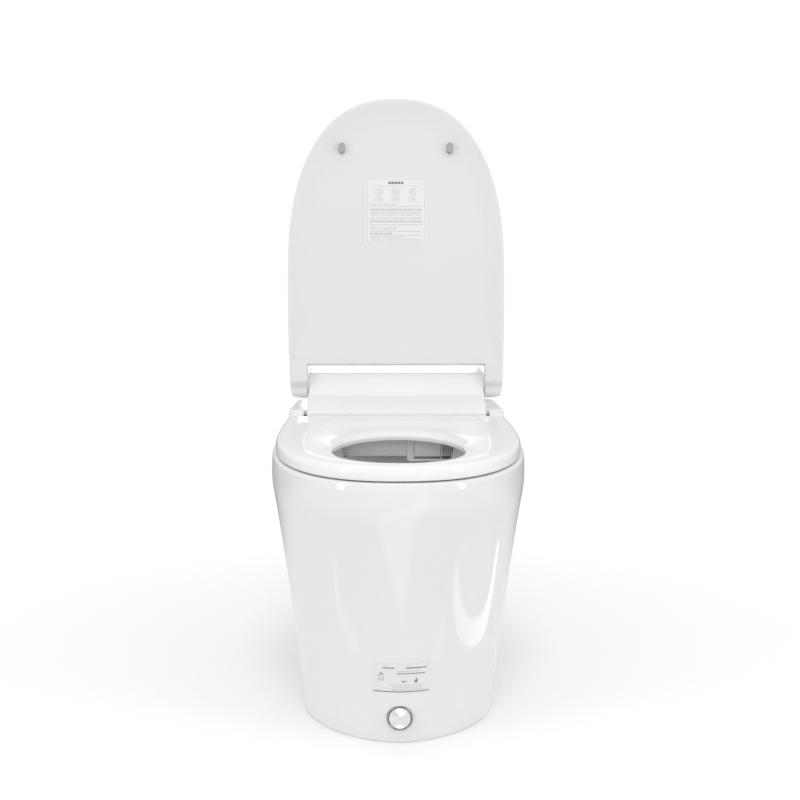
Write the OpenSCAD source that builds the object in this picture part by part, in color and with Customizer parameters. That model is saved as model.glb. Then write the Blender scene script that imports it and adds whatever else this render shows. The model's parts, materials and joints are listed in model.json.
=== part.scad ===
// One-piece electric bidet toilet: ceramic pedestal, heated seat ring, lid and wash unit.
// Origin on the floor at the middle of the footprint, +Z up, the front faces -Y.

/* [Pedestal] */
// Half width of the body at its widest
body_half_w = 198.5; // [180:0.5:220]
// Height of the rim that the seat rests over
rim_z = 405; // [380:1:450]
// Reach of the body in front of the hinge line
body_front = 537; // [500:1:580]
// Depth of the body behind the hinge line
body_back = 140; // [125:1:170]
// Half width of the foot where it meets the floor
foot_half_w = 148; // [130:1:170]
// How far the foot is set back from the body's front
foot_set_back = 84; // [40:1:110]
// Thickness of the ceramic walls
ceramic_wall = 12; // [8:0.5:16]

/* [Bowl] */
// Half width of the bowl opening in the rim
bowl_half_w = 125; // [112:1:135]
// Front of the bowl opening, from the hinge line
bowl_front = 488; // [470:1:500]
// Rear of the bowl opening, from the hinge line
bowl_rear = 118; // [105:1:130]
// Height of the bowl's floor above the ground
sump_z = 200; // [185:1:220]
// Radius of the trap pipe, outside
trap_r = 32; // [26:0.5:36]

/* [Seat] */
// Half width of the seat ring
seat_half_w = 192.5; // [180:0.5:198]
// Front of the seat ring, from the hinge line
seat_front = 530; // [500:1:560]
// Rear edge of the seat ring, from the hinge line
seat_rear = 57; // [52:0.5:64]
// Thickness of the seat ring, bumpers apart
seat_thick = 21; // [17:0.5:26]
// Half width of the opening in the ring
seat_open_half_w = 100; // [88:1:110]
// Half length of the opening in the ring
seat_open_half_l = 134; // [120:1:145]
// Middle of the opening, from the hinge line
seat_open_mid = 339; // [330:1:345]
// Seat pin radius
seat_pin_r = 4; // [3:0.25:5]

/* [Lid] */
// Half width of the lid
lid_half_w = 191; // [180:0.5:198]
// Length of the lid from its pin to its tip
lid_len = 521; // [490:1:550]
// Depth of the lid from its pin down to its rim
lid_rim_drop = 22; // [18:0.5:26]
// Angle that the open lid leans back from upright
lid_lean = 12; // [8:1:14]
// Depth of the window between the lid's ears, in front of the pin
lid_window = 46; // [42:0.5:50]
// Radius of the rounded ear ends
ear_r = 12; // [10:0.5:13]
// Lid pin radius
lid_pin_r = 5; // [3.5:0.25:6]
// Thickness of the moulded lid and seat skins
skin = 3; // [2:0.25:4]

/* [Casing] */
// Half width of the raised casing
casing_half_w = 155; // [145:0.5:160]
// Height of the casing above the rim
casing_rise = 87; // [80:1:105]
// Thickness of the casing's walls
casing_wall = 3; // [2:0.25:4]

/* [Wash unit] */
// Middle of the wand, to the right of the centre line
wand_x = 49; // [44:0.5:54]
// Radius of the wand tube
wand_r = 6.5; // [5:0.25:7]
// Length of the wand tube
wand_len = 150; // [140:1:155]
// Distance that the wand travels
wand_travel = 105; // [80:1:110]
// Slope of the wand below level
wand_slope = 5; // [3:0.5:6]
// Width of the shutter in front of the wand
door_w = 43; // [36:0.5:45]
// Height of the shutter in front of the wand
door_h = 25.5; // [22:0.5:26]
// Width of the dryer grille
grille_w = 29; // [22:0.5:31]

/* [Foot button] */
// Height of the button's middle above the floor
button_z = 42; // [36:0.5:60]
// Outer radius of the button's ring
button_ring_r = 19.5; // [16:0.25:24]
// Radius of the button's cap
button_cap_r = 16.2; // [11:0.1:17]
// Distance that the button travels
button_travel = 6; // [3:0.5:7]

/* [Hidden] */

run_gap = 0.05;                 // radial clearance of a pin that turns in its hole
part_gap = 0.5;                 // clearance between pieces that pass each other
hinge_y = (body_front - body_back) / 2;

// ---- plan outlines: a curved front on straight sides, seen from above ----
FRONT_STEPS = 32;
SIDE_STEPS = 3;
REAR_STEPS = 7;
function super_x(a, n, t) = a * sign(cos(t)) * pow(abs(cos(t)), 2 / n);
function super_s(b, n, t) = b * pow(sin(t), 2 / n);
// a: half width, front: reach, mid: where it is widest, n: fullness, back: rear edge, rear_a: half width there
function plan(a, front, mid, n, back, rear_a, corner = 0) = concat(
  [for (i = [0:FRONT_STEPS]) let (t = 180 * i / FRONT_STEPS)
    [super_x(a, n, t), mid + super_s(front - mid, n, t)]],
  [for (i = [1:SIDE_STEPS]) let (f = i / SIDE_STEPS)
    [-(a - (a - rear_a) * f * f), mid + (back + corner - mid) * f]],
  corner > 0 ? [[-(rear_a - corner * 0.3), back + corner * 0.3], [-(rear_a - corner), back]] : [],
  [for (i = [1:REAR_STEPS]) [(rear_a - corner) * (2 * i / (REAR_STEPS + 1) - 1), back]],
  corner > 0 ? [[rear_a - corner, back], [rear_a - corner * 0.3, back + corner * 0.3]] : [],
  [for (i = [0:SIDE_STEPS - 1]) let (f = 1 - i / SIDE_STEPS)
    [a - (a - rear_a) * f * f, mid + (back + corner - mid) * f]]
);
// the ring of an oval, seen from its middle in the direction of each point of an outline
function oval_towards(points, mid, half_w, half_l) = [for (p = points)
  let (d = atan2(p[1] - mid, p[0]), r = 1 / sqrt(pow(cos(d) / half_w, 2) + pow(sin(d) / half_l, 2)))
    [r * cos(d), mid + r * sin(d)]];
function blend(p, q, f) = [for (i = [0:len(p) - 1]) p[i] * (1 - f) + q[i] * f];
function raised(points, z) = [for (p = points) [p[0], hinge_y - p[1], z]];
function drawn(points) = [for (p = points) [p[0], hinge_y - p[1]]];

// a solid whose skin runs through closed rings of equal count; open_tube joins the last ring to the first
module skin_through(rings, open_tube = false) {
  n = len(rings[0]);
  m = len(rings);
  side = [for (k = [0:(open_tube ? m - 1 : m - 2)], j = [0:n - 1]) let (k2 = (k + 1) % m, j2 = (j + 1) % n)
    [k * n + j, k * n + j2, k2 * n + j2, k2 * n + j]];
  caps = open_tube ? [] : [[for (j = [n - 1:-1:0]) j], [for (j = [0:n - 1]) (m - 1) * n + j]];
  polyhedron(points = [for (r = rings) each r], faces = concat(side, caps), convexity = 8);
}

// places a shape at a distance in front of the hinge line
module at(s, x = 0, z = 0) { translate([x, hinge_y - s, z]) children(); }
module box(x0, x1, s0, s1, z0, z1) {
  translate([x0, hinge_y - s1, z0]) cube([x1 - x0, s1 - s0, z1 - z0]);
}
module rod_x(s, z, r, x0, x1) { at(s, x0, z) rotate([0, 90, 0]) cylinder(h = x1 - x0, r = r, $fn = 48); }
module rod_s(x, z, r, s0, s1) { at(s1, x, z) rotate([-90, 0, 0]) cylinder(h = s1 - s0, r = r, $fn = 48); }
module rod_z(x, s, r, z0, z1) { at(s, x, z0) cylinder(h = z1 - z0, r = r, $fn = 48); }
module both_sides() { children(); mirror([1, 0, 0]) children(); }

// ---- pedestal ----
body_mid = 214;                 // where the rim is widest, from the hinge line
foot_mid = 300;                 // where the foot is widest
rim_full = 2.376;               // fullness of the rim's curve
foot_full = 1.79;               // fullness of the foot's curve
widest_z = rim_z - 40;          // height at which the body is widest
rim_in = 5;                     // how far the rim's top edge is inside the widest outline
back_corner = 22;               // radius of the upright rear corners
// share of the way from the foot's outline to the widest one, from the floor up
function flare(z) = z >= widest_z ? 1 : 0.35 * z / widest_z + 0.65 * pow(z / widest_z, 1.25);
function body_ring(z, inset = 0) = let (
    f = flare(z),
    a = foot_half_w + (body_half_w - foot_half_w) * f - inset,
    front = body_front - foot_set_back * (1 - f) - inset,
    mid = foot_mid + (body_mid - foot_mid) * f,
    n = foot_full + (rim_full - foot_full) * f,
    back = -body_back + inset
  ) plan(a, front, mid, n, back, a - 7 * f - 3, back_corner - inset / 2);
rim_ring = body_ring(widest_z, rim_in);
bowl_mid = (bowl_front + bowl_rear) / 2;
function bowl_ring(grow) = oval_towards(rim_ring, bowl_mid, bowl_half_w + grow,
  (bowl_front - bowl_rear) / 2 + grow);
sump_mid = 335;                 // middle of the bowl's floor
function sump_ring(r) = oval_towards(rim_ring, sump_mid, r, r);
// the bowl's wall: share of the way down to the sump, by depth
function bowl_wall_ring(f, grow) = blend(bowl_ring(grow), sump_ring(trap_r + grow), pow(f, 1.6));
deck_thick = 20;
bowl_levels = [0.12, 0.35, 0.6, 0.82, 0.94];

// rings round the whole wall: outside up, over the rim, down the bowl and back up beneath it
body_wall_levels = [0, 14, 70, 135, 200, 260, 315];
under_levels = [0.94, 0.7, 0.42, 0.2];
inner_levels = [330, 200, 90, 0];
function bowl_z(f, drop) = rim_z - (rim_z - sump_z) * f - drop;
body_rings = concat(
  [for (z = body_wall_levels) raised(body_ring(z, z == 0 ? 2 : 0), z)],
  [raised(body_ring(widest_z), widest_z), raised(body_ring(widest_z, 0.8), rim_z - 20),
   raised(body_ring(widest_z, 2.4), rim_z - 8), raised(rim_ring, rim_z)],
  [raised(bowl_ring(3), rim_z), raised(bowl_ring(0), rim_z - 4)],
  [for (f = bowl_levels) raised(bowl_wall_ring(f, 0), bowl_z(f, 0))],
  [raised(sump_ring(trap_r - 5), sump_z), raised(sump_ring(trap_r - 5), sump_z - ceramic_wall)],
  [for (f = under_levels) raised(bowl_wall_ring(f, ceramic_wall), bowl_z(f, ceramic_wall))],
  [raised(bowl_ring(ceramic_wall + 4), rim_z - deck_thick - 4),
   raised(body_ring(widest_z, ceramic_wall), rim_z - deck_thick - 4)],
  [for (z = inner_levels) raised(body_ring(z, ceramic_wall), z)]
);
tray_half_w = 120;
bay_half_w = tray_half_w + 1.5; // half width of the opening over the service bay
bay_back = body_back - 16;      // depth of that opening behind the hinge line
web_z = 362;                    // height of the web between the bowl and the service bay
outlet_s = sump_mid - 170;      // middle of the waste outlet
inlet_x = -92;
inlet_z = 150;
gland_x = 92;
port_r = 16;
button_seat_s = body_front - foot_set_back * (1 - flare(button_z)) - 4;
button_hole_r = button_cap_r + 1.8;
anchor_s = 60;
anchor_x = foot_half_w - 34;
anchor_z = 26;                  // height of the side screws
anchor_hole_r = 4.5;

module ceramic_body() {
  color("white") difference() {
    skin_through(body_rings, true);
    box(-bay_half_w, bay_half_w, -bay_back, bowl_rear + 64, web_z, rim_z + 5);
    rod_s(inlet_x, inlet_z, port_r, -body_back - 5, -body_back + ceramic_wall + 8);
    rod_s(gland_x, inlet_z, port_r, -body_back - 5, -body_back + ceramic_wall + 8);
    rod_s(0, button_z, button_hole_r, button_seat_s - 40, body_front);
    rod_s(0, button_z, button_ring_r + 0.3, button_seat_s - 1.2, body_front);
    both_sides() rod_x(anchor_s, anchor_z, anchor_hole_r, anchor_x + 10, body_half_w);
    for (x = [-screw_x, screw_x], s = screw_s) rod_z(x, s, screw_r + 0.3, rim_z - deck_thick - 10, rim_z + 1);
    rod_s(flush_hose_x, jet_z, flush_r + 0.2, jet_s - 60, jet_s + 25);
  }
}

bend = (sump_mid - outlet_s) / 4;
trap_low = 120;                 // height at which the first bend starts
trap_high = 132;                // height at which the second one starts
bend_step = 0.2;                // the bends are this much slimmer than the straight runs
module trap_bend(r, s, z, turn) {
  at(s, 0, z) rotate([0, 90, 0]) rotate([0, 0, turn])
    rotate_extrude(angle = 180, $fn = 64) translate([bend, 0]) circle(r = r, $fn = 48);
}
module trap_wall(r, over = 0) {
  rod_z(0, sump_mid, r, trap_low - 1, sump_z - ceramic_wall + over);
  rod_z(0, sump_mid - 2 * bend, r, trap_low - 1, trap_high + 1);
  rod_z(0, outlet_s, r, -over, trap_high + 1);
  trap_bend(r - bend_step, sump_mid - bend, trap_low, -90);
  trap_bend(r - bend_step, sump_mid - 3 * bend, trap_high, 90);
}
module trap_pipe() {
  color("gainsboro") difference() {
    trap_wall(trap_r);
    trap_wall(trap_r - 4, 1);
  }
}
module outlet_seal() {
  color("dimgray") at(outlet_s, 0, 0) rotate_extrude($fn = 64)
    translate([trap_r + run_gap, 0]) square([16, 14]);
}
bracket_t = 3;
bracket_w = 30;
module floor_brackets() {
  color("silver") both_sides() difference() {
    union() {
      box(anchor_x - 26, anchor_x + 8, anchor_s - bracket_w / 2, anchor_s + bracket_w / 2, 0, bracket_t);
      box(anchor_x + 8 - bracket_t, anchor_x + 8, anchor_s - bracket_w / 2, anchor_s + bracket_w / 2, 0, 42);
    }
    rod_z(anchor_x - 12, anchor_s, anchor_hole_r, -1, bracket_t + 1);
    rod_x(anchor_s, anchor_z, 3.2, anchor_x, anchor_x + 12);
  }
}
module floor_screws() {
  color("silver") both_sides() {
    rod_x(anchor_s, anchor_z, 3, anchor_x - 2, foot_half_w - 4);
    rod_x(anchor_s, anchor_z, 5.5, anchor_x - 2, anchor_x + 4.8);
  }
}
cap_r = 8;
cap_plug_r = anchor_hole_r - 0.3;
cap_h = 2.2;
cap_sink = 0.167;
// side of the pedestal at the height of the caps
cap_seat = foot_half_w + (body_half_w - foot_half_w) * flare(anchor_z) - cap_sink;
module side_caps() {
  color("white") both_sides() {
    rod_x(anchor_s, anchor_z, cap_plug_r, foot_half_w - 3.5, cap_seat + 0.1);
    rod_x(anchor_s, anchor_z, cap_r, cap_seat, cap_seat + cap_h);
  }
}

// ---- flush pump inside the pedestal ----
pump_s = -40;
pump_r = 42;
pump_z0 = 60;
pump_z1 = 118;
pump_port_z = 78;
flush_r = 12;                   // outside radius of the flush hose and its ports
flush_wall = 3;
flush_hose_x = 86;
jet_s = bowl_mid - 113;         // where the flush hose meets the back of the bowl
jet_z = rim_z - 75;
module flush_pump() {
  color("dimgray") difference() {
    union() {
      rod_z(0, pump_s, pump_r, pump_z0, pump_z1);
      rod_z(0, pump_s, 28, pump_z1, pump_z1 + 67);
      rod_x(pump_s, pump_port_z, flush_r, 0, 74);
      box(-50, 50, pump_s - 50, pump_s + 50, pump_z0 - 8, pump_z0);
    }
    rod_z(0, pump_s, pump_r - 4, pump_z0 + 6, pump_z1 - 6);
    rod_x(pump_s, pump_port_z, flush_r - flush_wall, 30, 75);
  }
}
module pump_impeller() {
  color("black") {
    rod_z(0, pump_s, 12, pump_z0 + 10, pump_z1 - 14);
    for (i = [0:5]) at(pump_s, 0, 0) rotate([0, 0, i * 60])
      translate([10, -1.5, pump_z0 + 12]) cube([22, 3, 26]);
  }
}
module flush_path(r, over) {
  rod_x(pump_s, pump_port_z, r, 74.2 - over, flush_hose_x);
  at(pump_s, flush_hose_x, pump_port_z) sphere(r = r, $fn = 48);
  rod_z(flush_hose_x, pump_s, r, pump_port_z, jet_z);
  at(pump_s, flush_hose_x, jet_z) sphere(r = r, $fn = 48);
  rod_s(flush_hose_x, jet_z, r, pump_s, jet_s + over);
}
module flush_hose() {
  color("lightgray") difference() {
    flush_path(flush_r, 0);
    flush_path(flush_r - flush_wall, 1);
  }
}

// ---- casing over the service bay ----
plate_thick = 4;
plate_z = rim_z + plate_thick;
casing_top_z = rim_z + casing_rise;
casing_foot_s = seat_rear - 0.6;
casing_foot_z = rim_z + 26.5;
crease_s = 16;
crease_z = casing_foot_z + 23;
brow_s = -4;                    // upper edge of the casing's face
deck_z = rim_z + 23;            // low decks beside the raised casing
lug_clear_s = 18;               // the decks stop here, behind the seat's hinge lugs
seat_pin_s = 28;
seat_pin_z = rim_z + 19;
lug_r = 8.5;
bush_hole_seat = seat_pin_r + 3;
bush_hole_lid = lid_pin_r + 3;
lid_pin_s = 2;
lid_pin_z = rim_z + 56;
casing_back_s = -body_back + 4;
screw_x = 135;
screw_s = [-120, 8];
screw_r = 2;
tray_front = 175;
tray_z = rim_z - 28.5;
bezel_x0 = wand_x - door_w / 2 - 12;
bezel_x1 = bezel_x0 + 91;
bezel_z = rim_z - 37.3;
tray_wall = 2.5;

// side profile of the raised casing, drawn as (distance in front of the hinge line, height)
function casing_profile(w) = [
  [casing_foot_s - w * 1.2, plate_z + (w > 0 ? -1 : 0)],
  [casing_foot_s - w * 1.2, casing_foot_z - w],
  [crease_s - w * 0.75, crease_z - w * 0.75],
  [brow_s - w * 0.8, casing_top_z - w],
  [casing_back_s + 26, casing_top_z - w],
  [casing_back_s + 10 + w * 0.3, casing_top_z - 7 - w * 0.8],
  [casing_back_s + w, casing_top_z - 26],
  [casing_back_s + w, plate_z + (w > 0 ? -1 : 0)]
];
module along_x(half_w) {
  translate([half_w, hinge_y, 0]) rotate([0, 0, 180]) rotate([90, 0, 90]) linear_extrude(2 * half_w) children();
}
module casing_outline() { polygon(drawn(body_ring(widest_z, rim_in))); }
module deck_block(inset, z0, z1) {
  intersection() {
    translate([0, 0, z0]) linear_extrude(z1 - z0) polygon(drawn(body_ring(widest_z, rim_in + inset)));
    union() both_sides()
      box(casing_half_w - 1 + inset, 300, casing_back_s + inset, lug_clear_s - inset, z0, z1);
  }
}
module casing_top() {
  color("whitesmoke") difference() {
    union() {
      along_x(casing_half_w) polygon(casing_profile(0));
      deck_block(0, plate_z, deck_z);
    }
    along_x(casing_half_w - casing_wall) polygon(casing_profile(casing_wall));
    deck_block(casing_wall, plate_z - 1, deck_z - casing_wall);
    rod_x(lid_pin_s, lid_pin_z, bush_hole_lid, -casing_half_w - 5, casing_half_w + 5);
    rod_x(seat_pin_s, seat_pin_z, bush_hole_seat, -casing_half_w - 5, casing_half_w + 5);
    // softened upper corners
    both_sides() at(0, casing_half_w, casing_top_z) rotate([0, 45, 0]) cube([4.2, 600, 4.2], center = true);
  }
}
module casing_base() {
  color("whitesmoke") difference() {
    union() {
      intersection() {
        translate([0, 0, rim_z + 0.2]) linear_extrude(plate_thick - 0.2) casing_outline();
        box(-300, 300, casing_back_s, seat_rear - 2, rim_z, rim_z + 10);
      }
      box(-tray_half_w, tray_half_w, 0, tray_front, tray_z, rim_z + 0.6);
    }
    box(-tray_half_w + tray_wall, tray_half_w - tray_wall, tray_wall, tray_front - tray_wall,
        tray_z + tray_wall, rim_z + 20);
    box(inlet_x + 8, inlet_x + 40, filter_s + 50, filter_s + 78, rim_z - 5, rim_z + 10);
    box(bezel_x0 - 0.3, bezel_x1 + 0.3, tray_front - 12, tray_front + 1, tray_z - 1, rim_z + 1);
    both_sides() box(casing_half_w + 0.5, 300, lug_clear_s, 300, rim_z, rim_z + 10);
    for (x = [-screw_x, screw_x], s = screw_s) rod_z(x, s, screw_r + 0.2, rim_z - 1, rim_z + 8);
  }
}
cover_gap = 0.2;
module tray_cover() {
  color("whitesmoke") difference() {
    box(-tray_half_w + tray_wall + cover_gap, tray_half_w - tray_wall - cover_gap, seat_rear + 1,
        tray_front - tray_wall - cover_gap, rim_z - 1, rim_z + 0.5);
    // grip notch at the rear edge
    rod_z(0, seat_rear, 14, rim_z - 2, rim_z + 2);
  }
}
module casing_screws() {
  color("silver") for (x = [-screw_x, screw_x], s = screw_s) {
    rod_z(x, s, screw_r, rim_z - 12, plate_z + 0.05);
    rod_z(x, s, 2 * screw_r, plate_z + 0.05, plate_z + 2.6);
  }
}
module casing_clamps() {
  color("gray") for (x = [-screw_x, screw_x], s = screw_s) difference() {
    box(x - 4.8, x + 8, s - 7, s + 7, rim_z - deck_thick - 12, rim_z - deck_thick - 5);
    rod_z(x, s, screw_r, rim_z - 40, rim_z);
  }
}

// ---- wash unit ----
door_z1 = rim_z - 3.5;
door_s = tray_front + 1;
door_x0 = wand_x - door_w / 2;
shutter_neck_r = 5;
nose_z = 6;                     // the rounded nose is centred this far back along the wand
grille_x0 = door_x0 + door_w + 3;
lip = 4;
module wash_bezel() {
  color("whitesmoke") difference() {
    hull() {
      box(bezel_x0 + 6, bezel_x1, tray_front - 11, door_s + 2.5, bezel_z, bezel_z + 6);
      rod_s(bezel_x0 + 6, bezel_z + 6, 6, tray_front - 11, door_s + 2.5);
      box(bezel_x0, bezel_x1, tray_front - 11, door_s + 2.5, rim_z - 10, rim_z - 1.2);
    }
    box(door_x0 - 0.6, door_x0 + door_w + 0.6, tray_front - 20, door_s + 5, bezel_z + lip, rim_z + 1);
    box(grille_x0 - 0.3, grille_x0 + grille_w + 0.3, tray_front - 20, door_s + 5, bezel_z + lip, rim_z + 1);
  }
}
// plate on the nose of the wand, which closes the frame when the wand is home
module wand_shutter() {
  color("whitesmoke") {
    box(door_x0, door_x0 + door_w, door_s - 1.2, door_s + 1.2, door_z1 - door_h, door_z1);
    difference() {
      rod_s(wand_x, wand_tip_z, shutter_neck_r, wand_tip_s - 6, door_s - 1);
      wand_frame() translate([0, 0, nose_z]) sphere(r = wand_r + 0.02, $fn = 48);
    }
  }
}
rib_pitch = 2.9;
module dryer_grille() {
  color("whitesmoke") {
    for (i = [0:9]) box(grille_x0 + i * rib_pitch, grille_x0 + i * rib_pitch + 1.5, door_s - 1.2, door_s + 1.2,
                        door_z1 - door_h, rim_z - 2);
    box(grille_x0, grille_x0 + grille_w, door_s - 2.6, door_s - 1, door_z1 - door_h, door_z1 - door_h + 2);
    box(grille_x0, grille_x0 + grille_w, door_s - 2.6, door_s - 1, rim_z - 4, rim_z - 2);
  }
}

wand_tip_s = tray_front - 6;
wand_tip_z = rim_z - 18.5;
// local frame of the wand: +Z points back along the tube, +Y up across its top, +X to the left
module wand_frame() {
  at(wand_tip_s, wand_x, wand_tip_z) rotate([wand_slope - 90, 0, 0]) rotate([0, 0, 180]) children();
}
rack_w = 6;
rack_base = wand_r + 2.2;
gear_r = 8;
gear_teeth = 16;
tooth_pitch = PI * 2 * gear_r / gear_teeth;
tooth_high = 1.8;
tooth_w = tooth_pitch * 0.42;
rack_start = 27;
rack_end = wand_len - 4;
gear_shaft_r = 2.5;
gear_side = rack_base + tooth_high / 2 + 0.4 + gear_r;
// the gear's tooth stands in the gap between two rack teeth, and the rack still meets it at full travel
gear_along = rack_start + (floor((rack_end - wand_travel - rack_start) / tooth_pitch) - 0.5) * tooth_pitch;
// a tooth that points along +X, drawn about the middle of its foot
module tooth() {
  polygon([[-0.6, -tooth_w / 2], [-0.6, tooth_w / 2],
           [tooth_high, tooth_w * 0.3], [tooth_high, -tooth_w * 0.3]]);
}
module flat_on_side(h) { translate([0, h / 2, 0]) rotate([90, 0, 0]) linear_extrude(h) children(); }
module wand_tube() {
  color("gainsboro") wand_frame() difference() {
    translate([0, 0, 20]) cylinder(h = wand_len - 20, r = wand_r, $fn = 48);
    translate([0, 0, 19]) cylinder(h = wand_len - 26, r = wand_r - 1.5, $fn = 48);
  }
}
module wand_tip() {
  color("whitesmoke") wand_frame() difference() {
    union() {
      translate([0, 0, nose_z]) cylinder(h = 19.9 - nose_z, r = wand_r, $fn = 48);
      translate([0, 0, nose_z]) sphere(r = wand_r, $fn = 48);
    }
    for (z = [8, 14]) translate([0, 0, z]) rotate([-90, 0, 0]) cylinder(h = wand_r + 1, r = 1.2, $fn = 24);
  }
}
module wand_rack() {
  color("dimgray") wand_frame() {
    difference() {
      translate([wand_r - 1, -rack_w / 2, 24]) cube([3.2, rack_w, rack_end - 24]);
      translate([0, 0, 20]) cylinder(h = wand_len, r = wand_r + 0.01, $fn = 48);
    }
    for (i = [0:floor((rack_end - rack_start - 3) / tooth_pitch)])
      translate([rack_base - 0.1, 0, rack_start + i * tooth_pitch]) flat_on_side(rack_w) tooth();
  }
}
module gear_frame() { wand_frame() translate([gear_side, 0, gear_along]) children(); }
// a gear's outline: four corners a tooth, the first tooth pointing along -X
function gear_outline(teeth, foot_r, tip_r, foot_w, tip_w) = [for (i = [0:teeth - 1])
  let (d = 180 + i * 360 / teeth, f = asin(foot_w / 2 / foot_r), t = asin(tip_w / 2 / tip_r))
    for (c = [[foot_r, -f], [tip_r, -t], [tip_r, t], [foot_r, f]]) c[0] * [cos(d + c[1]), sin(d + c[1])]];
module wand_pinion() {
  foot_r = gear_r - tooth_high / 2;
  color("dimgray") gear_frame() {
    flat_on_side(rack_w)
      polygon(gear_outline(gear_teeth, foot_r, foot_r + tooth_high, tooth_w, tooth_w * 0.6));
    translate([0, rack_w / 2 - 1, 0]) rotate([-90, 0, 0]) cylinder(h = 7, r = gear_shaft_r, $fn = 24);
  }
}
motor_r = 11.5;
motor_h = 8.4;
motor_gap = 1;
module wand_motor() {
  color("silver") gear_frame() rotate([-90, 0, 0]) difference() {
    translate([0, 0, rack_w / 2 + motor_gap]) cylinder(h = motor_h, r = motor_r, $fn = 48);
    translate([0, 0, rack_w / 2]) cylinder(h = 8, r = gear_shaft_r + run_gap, $fn = 24);
  }
}
guide_w = 2 * wand_r + 6;
guide_under = 1.2;
module wand_guide() {
  color("gainsboro") {
    wand_frame() difference() {
      translate([-guide_w / 2, -wand_r - guide_under, 24])
        cube([guide_w, wand_r + guide_under - rack_w / 2 - 0.8, wand_len - 30]);
      translate([0, 0, 20]) cylinder(h = wand_len, r = wand_r + run_gap, $fn = 48);
    }
    // bracket that carries the motor beside the rack
    wand_frame() {
      translate([guide_w / 2 - 1, -wand_r - guide_under, gear_along - 10]) cube([gear_side + 3.5, 3, 20]);
      translate([gear_side + gear_r + 1.6, -wand_r - guide_under, gear_along - 5])
        cube([2.5, wand_r + guide_under + rack_w / 2 + motor_gap - 0.05, 10]);
    }
    box(wand_x - 6, wand_x + 6, 60, 68, tray_z + tray_wall, rim_z - 16.4);
    box(wand_x - 6, wand_x + 6, 126, 134, tray_z + tray_wall, rim_z - 22);
  }
}

// ---- warm air ----
fan_x = 88;
fan_s = 28;
fan_r = 20;
hub_r = 9;
fan_z0 = tray_z + tray_wall + 0.5;
module blower_housing() {
  color("dimgray") difference() {
    union() {
      rod_z(fan_x, fan_s, fan_r + 4, fan_z0, fan_z0 + 30);
      box(fan_x - 4, fan_x + 18, fan_s, fan_s + 60, fan_z0, fan_z0 + 22);
    }
    rod_z(fan_x, fan_s, fan_r + 2, fan_z0 + 2, fan_z0 + 28);
    rod_z(fan_x, fan_s, 12, fan_z0 + 20, fan_z0 + 40);
    box(fan_x - 2, fan_x + 16, fan_s + 5, fan_s + 61, fan_z0 + 2, fan_z0 + 20);
  }
}
module blower_fan() {
  color("black") {
    rod_z(fan_x, fan_s, hub_r, fan_z0 + 4, fan_z0 + 26);
    rod_z(fan_x, fan_s, fan_r, fan_z0 + 4, fan_z0 + 6);
    for (i = [0:11]) at(fan_s, fan_x, fan_z0 + 5) rotate([0, 0, i * 30]) translate([fan_r - 8, -0.6, 0])
      cube([7.5, 1.2, 20]);
  }
}
module blower_motor() {
  color("silver") {
    rod_z(fan_x, fan_s, 10, fan_z0 + 30.5, fan_z0 + 42);
    for (a = [30:120:270]) at(fan_s, fan_x, fan_z0 + 30.2) rotate([0, 0, a]) translate([0, -3, 0])
      cube([24, 6, 2]);
  }
}
module dryer_duct() {
  color("gray") difference() {
    box(grille_x0 - 1, grille_x0 + grille_w, fan_s + 60.3, tray_front - 14, fan_z0, fan_z0 + 22);
    box(grille_x0 + 1, grille_x0 + grille_w - 2, fan_s + 60, tray_front - 12, fan_z0 + 2, fan_z0 + 20);
  }
}

// ---- water path ----
module inlet_fitting() {
  color("silver") difference() {
    union() {
      rod_s(inlet_x, inlet_z, port_r - 0.3, -body_back + 1, -body_back + ceramic_wall + 9);
      rod_s(inlet_x, inlet_z, 10.2, -body_back + ceramic_wall, -body_back + ceramic_wall + 30);
      rod_s(inlet_x, inlet_z, 20, -body_back + ceramic_wall + 8.5, -body_back + ceramic_wall + 13);
    }
    rod_s(inlet_x, inlet_z, 7, -body_back - 1, -body_back + ceramic_wall + 31);
  }
}
filter_s = -body_back + ceramic_wall + 30;
module inlet_filter() {
  color("gray") {
    rod_s(inlet_x, inlet_z, 15, filter_s + 0.2, filter_s + 40);
    rod_s(inlet_x, inlet_z, 18, filter_s + 10, filter_s + 16);
  }
}
module solenoid_valve() {
  color("black") {
    box(inlet_x - 16, inlet_x + 16, filter_s + 40.2, filter_s + 78, inlet_z - 16, inlet_z + 16);
    rod_z(inlet_x, filter_s + 59, 13, inlet_z + 16, inlet_z + 52);
  }
}
module heater_tank() {
  color("gainsboro") difference() {
    union() {
      box(-114, -34, 6, 52, fan_z0, fan_z0 + 36);
      rod_x(30, fan_z0 + 18, 8, -34, -24);
    }
    rod_x(30, fan_z0 + 18, 5, -60, -23);
  }
}
module diverter_valve() {
  color("gray") {
    rod_z(-6, 34, 15, fan_z0 + 6, fan_z0 + 30);
    rod_z(-6, 34, 8, fan_z0, fan_z0 + 40);
  }
}
air_s = 118;
air_z = fan_z0 + 12;
module air_pump() {
  color("black") {
    rod_x(air_s, air_z, 11, -104, -62);
    box(-62, -44, air_s - 14, air_s + 14, fan_z0 + 1, fan_z0 + 23);
  }
}
// water hoses: each runs up from the valve and across to the tank
module water_hoses() {
  color("lightgray") {
    difference() {
      rod_z(inlet_x + 24, filter_s + 64, 6, inlet_z, 395);
      rod_z(inlet_x + 24, filter_s + 64, 4, inlet_z + 5, 396);
    }
    rod_x(filter_s + 64, inlet_z + 6, 5, inlet_x + 16.2, inlet_x + 24);
    difference() {
      rod_x(air_s, air_z, 4, -43.8, 10);
      rod_x(air_s, air_z, 2.5, -44, 11);
    }
  }
}

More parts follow.
